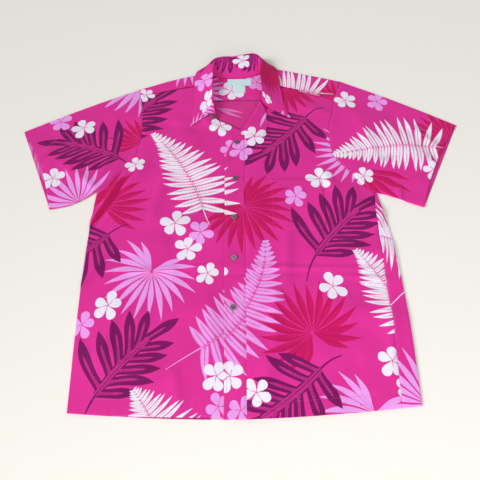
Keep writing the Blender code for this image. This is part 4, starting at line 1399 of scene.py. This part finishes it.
def make_button(name, across, up, turn, pale):
    """A shell button: a chart with four holes, its face dished inside a rounded rim, and thread through."""
    circle = np.linspace(0, TAU, BUTTON_CORNERS + 1)[:-1]
    ring = np.column_stack([np.cos(circle), np.sin(circle)])
    quarters = [(BUTTON_HOLE_OUT * x, BUTTON_HOLE_OUT * y) for x, y in ((1, 1), (-1, 1), (-1, -1), (1, -1))]
    holes = [(ring[::3] * BUTTON_HOLE + centre, "white") for centre in quarters]
    chart, triangles, ink = printed_chart(ring * BUTTON_RADIUS, holes, BUTTON_SPACING)
    face = np.interp(np.hypot(*chart.T) / BUTTON_RADIUS, *BUTTON_FACE) * BUTTON_THICK
    angle = math.radians(turn)
    spin = np.array(((math.cos(angle), math.sin(angle)), (-math.sin(angle), math.cos(angle))))
    under_it = over if name == "button_neck" else lapped
    seat = under_it(np.array([(across, up)], float))[0] + BUTTON_LIFT
    places = np.column_stack([chart @ spin + (across, up), seat + face])
    shell = polished_shell("shell_polished_" + name, pale)
    made = add_mesh(name + "_shell", places, triangles[ink == 0], [shell], BUTTON_WALL * BUTTON_THICK)
    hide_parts(name)
    lines = []
    for side in (-BUTTON_HOLE_OUT, BUTTON_HOLE_OUT):
        ends = np.array([(-BUTTON_HOLE_OUT, side), (BUTTON_HOLE_OUT, side)]) @ spin + (across, up)
        lines.append(np.column_stack([ends, np.full(2, seat + THREAD_SEAT * BUTTON_THICK)]))
    thread = add_mesh(name + "_thread", *stitches(lines, *BUTTON_THREAD), [DARK_THREAD])


make_back()
make_front_right()
make_front_left()
make_placket()
make_yoke()
make_yoke_inner()
for sleeve_name, sleeve_spec in SLEEVES.items():
    make_sleeve(sleeve_name, sleeve_spec)
make_collar()
make_lapel()
make_pocket()
make_label("brand_label", BRAND_LABEL, 0.3)
make_label("size_label", SIZE_LABEL, 0.0)
for button_name, button_spec in BUTTONS.items():
    make_button(button_name, *button_spec)

# ---------------------------------------------------------------------------------------------------------
# Floor, light and camera
# ---------------------------------------------------------------------------------------------------------


FLOOR_REACH, FLOOR_DEPTH = 30.0, 0.0004  # metres from the middle, and below the shirt


def make_floor():
    """A plain pale surface under the shirt."""
    mesh = bpy.data.meshes.new("floor")
    sides = ((-1, -1), (1, -1), (1, 1), (-1, 1))
    corners = [(x * FLOOR_REACH, y * FLOOR_REACH, -FLOOR_DEPTH) for x, y in sides]
    mesh.from_pydata(corners, [], [(0, 1, 2, 3)])
    made = bpy.data.objects.new("floor", mesh)
    paper, _, shader = finish_named("matt_paper", 0.9, Specular_IOR_Level=0.1)
    shader.inputs["Base Color"].default_value = linear("#F8F6F0")
    mesh.materials.append(paper)
    bpy.context.scene.collection.objects.link(made)


def add_near_softbox(name, place, aim, power, width):
    """A square softbox near the shirt, which lights the near end a little more."""
    lamp = bpy.data.lights.new(name, "AREA")
    lamp.energy, lamp.size = power, width
    made = bpy.data.objects.new(name, lamp)
    made.location = place
    made.rotation_euler = (Vector(place) - Vector(aim)).to_track_quat("Z", "Y").to_euler()
    bpy.context.scene.collection.objects.link(made)


def add_softbox(name, way, strength, spread):
    """A big softbox far off, seen from the shirt in that direction and that many degrees across."""
    lamp = bpy.data.lights.new(name, "SUN")
    lamp.energy, lamp.angle = strength, math.radians(spread)
    made = bpy.data.objects.new(name, lamp)
    made.rotation_euler = Vector(way).to_track_quat("Z", "Y").to_euler()
    bpy.context.scene.collection.objects.link(made)


CAMERA_TARGET = Vector((-0.0045, -0.0943, 0))
CAMERA_RISE = math.radians(64)
CAMERA_DISTANCE = 0.8185
CAMERA_ROLL = math.radians(0.9)
LENS, SENSOR = 29.625, 36  # millimetres


def make_camera():
    """It looks down at the shirt from beyond the hem."""
    lens = bpy.data.cameras.new("camera")
    lens.lens, lens.sensor_width = LENS, SENSOR
    made = bpy.data.objects.new("camera", lens)
    back = Vector((0, -math.cos(CAMERA_RISE), math.sin(CAMERA_RISE)))
    place = CAMERA_TARGET + back * CAMERA_DISTANCE
    aim = (-back).to_track_quat("-Z", "Y").to_matrix().to_4x4()
    made.matrix_world = Matrix.Translation(place) @ aim @ Matrix.Rotation(-CAMERA_ROLL, 4, "Z")
    bpy.context.scene.collection.objects.link(made)
    bpy.context.scene.camera = made


def make_world():
    """An even warm white all round."""
    world = bpy.data.worlds.new("studio")
    world.use_nodes = True
    sky = world.node_tree.nodes["Background"]
    sky.inputs["Color"].default_value = linear("#FFFDF8")
    sky.inputs["Strength"].default_value = 0.27
    bpy.context.scene.world = world


make_floor()
add_softbox("softbox_back", (0.7, 0.8, 0.9), 0.5, 40)
add_softbox("softbox_side", (-1.0, -0.35, 0.62), 2.2, 24)
add_near_softbox("softbox_near", (0.15, -1.6, 1.0), (0, -0.3, 0), 15, 1.4)
make_world()
bpy.context.scene.view_settings.view_transform = "Standard"
make_camera()
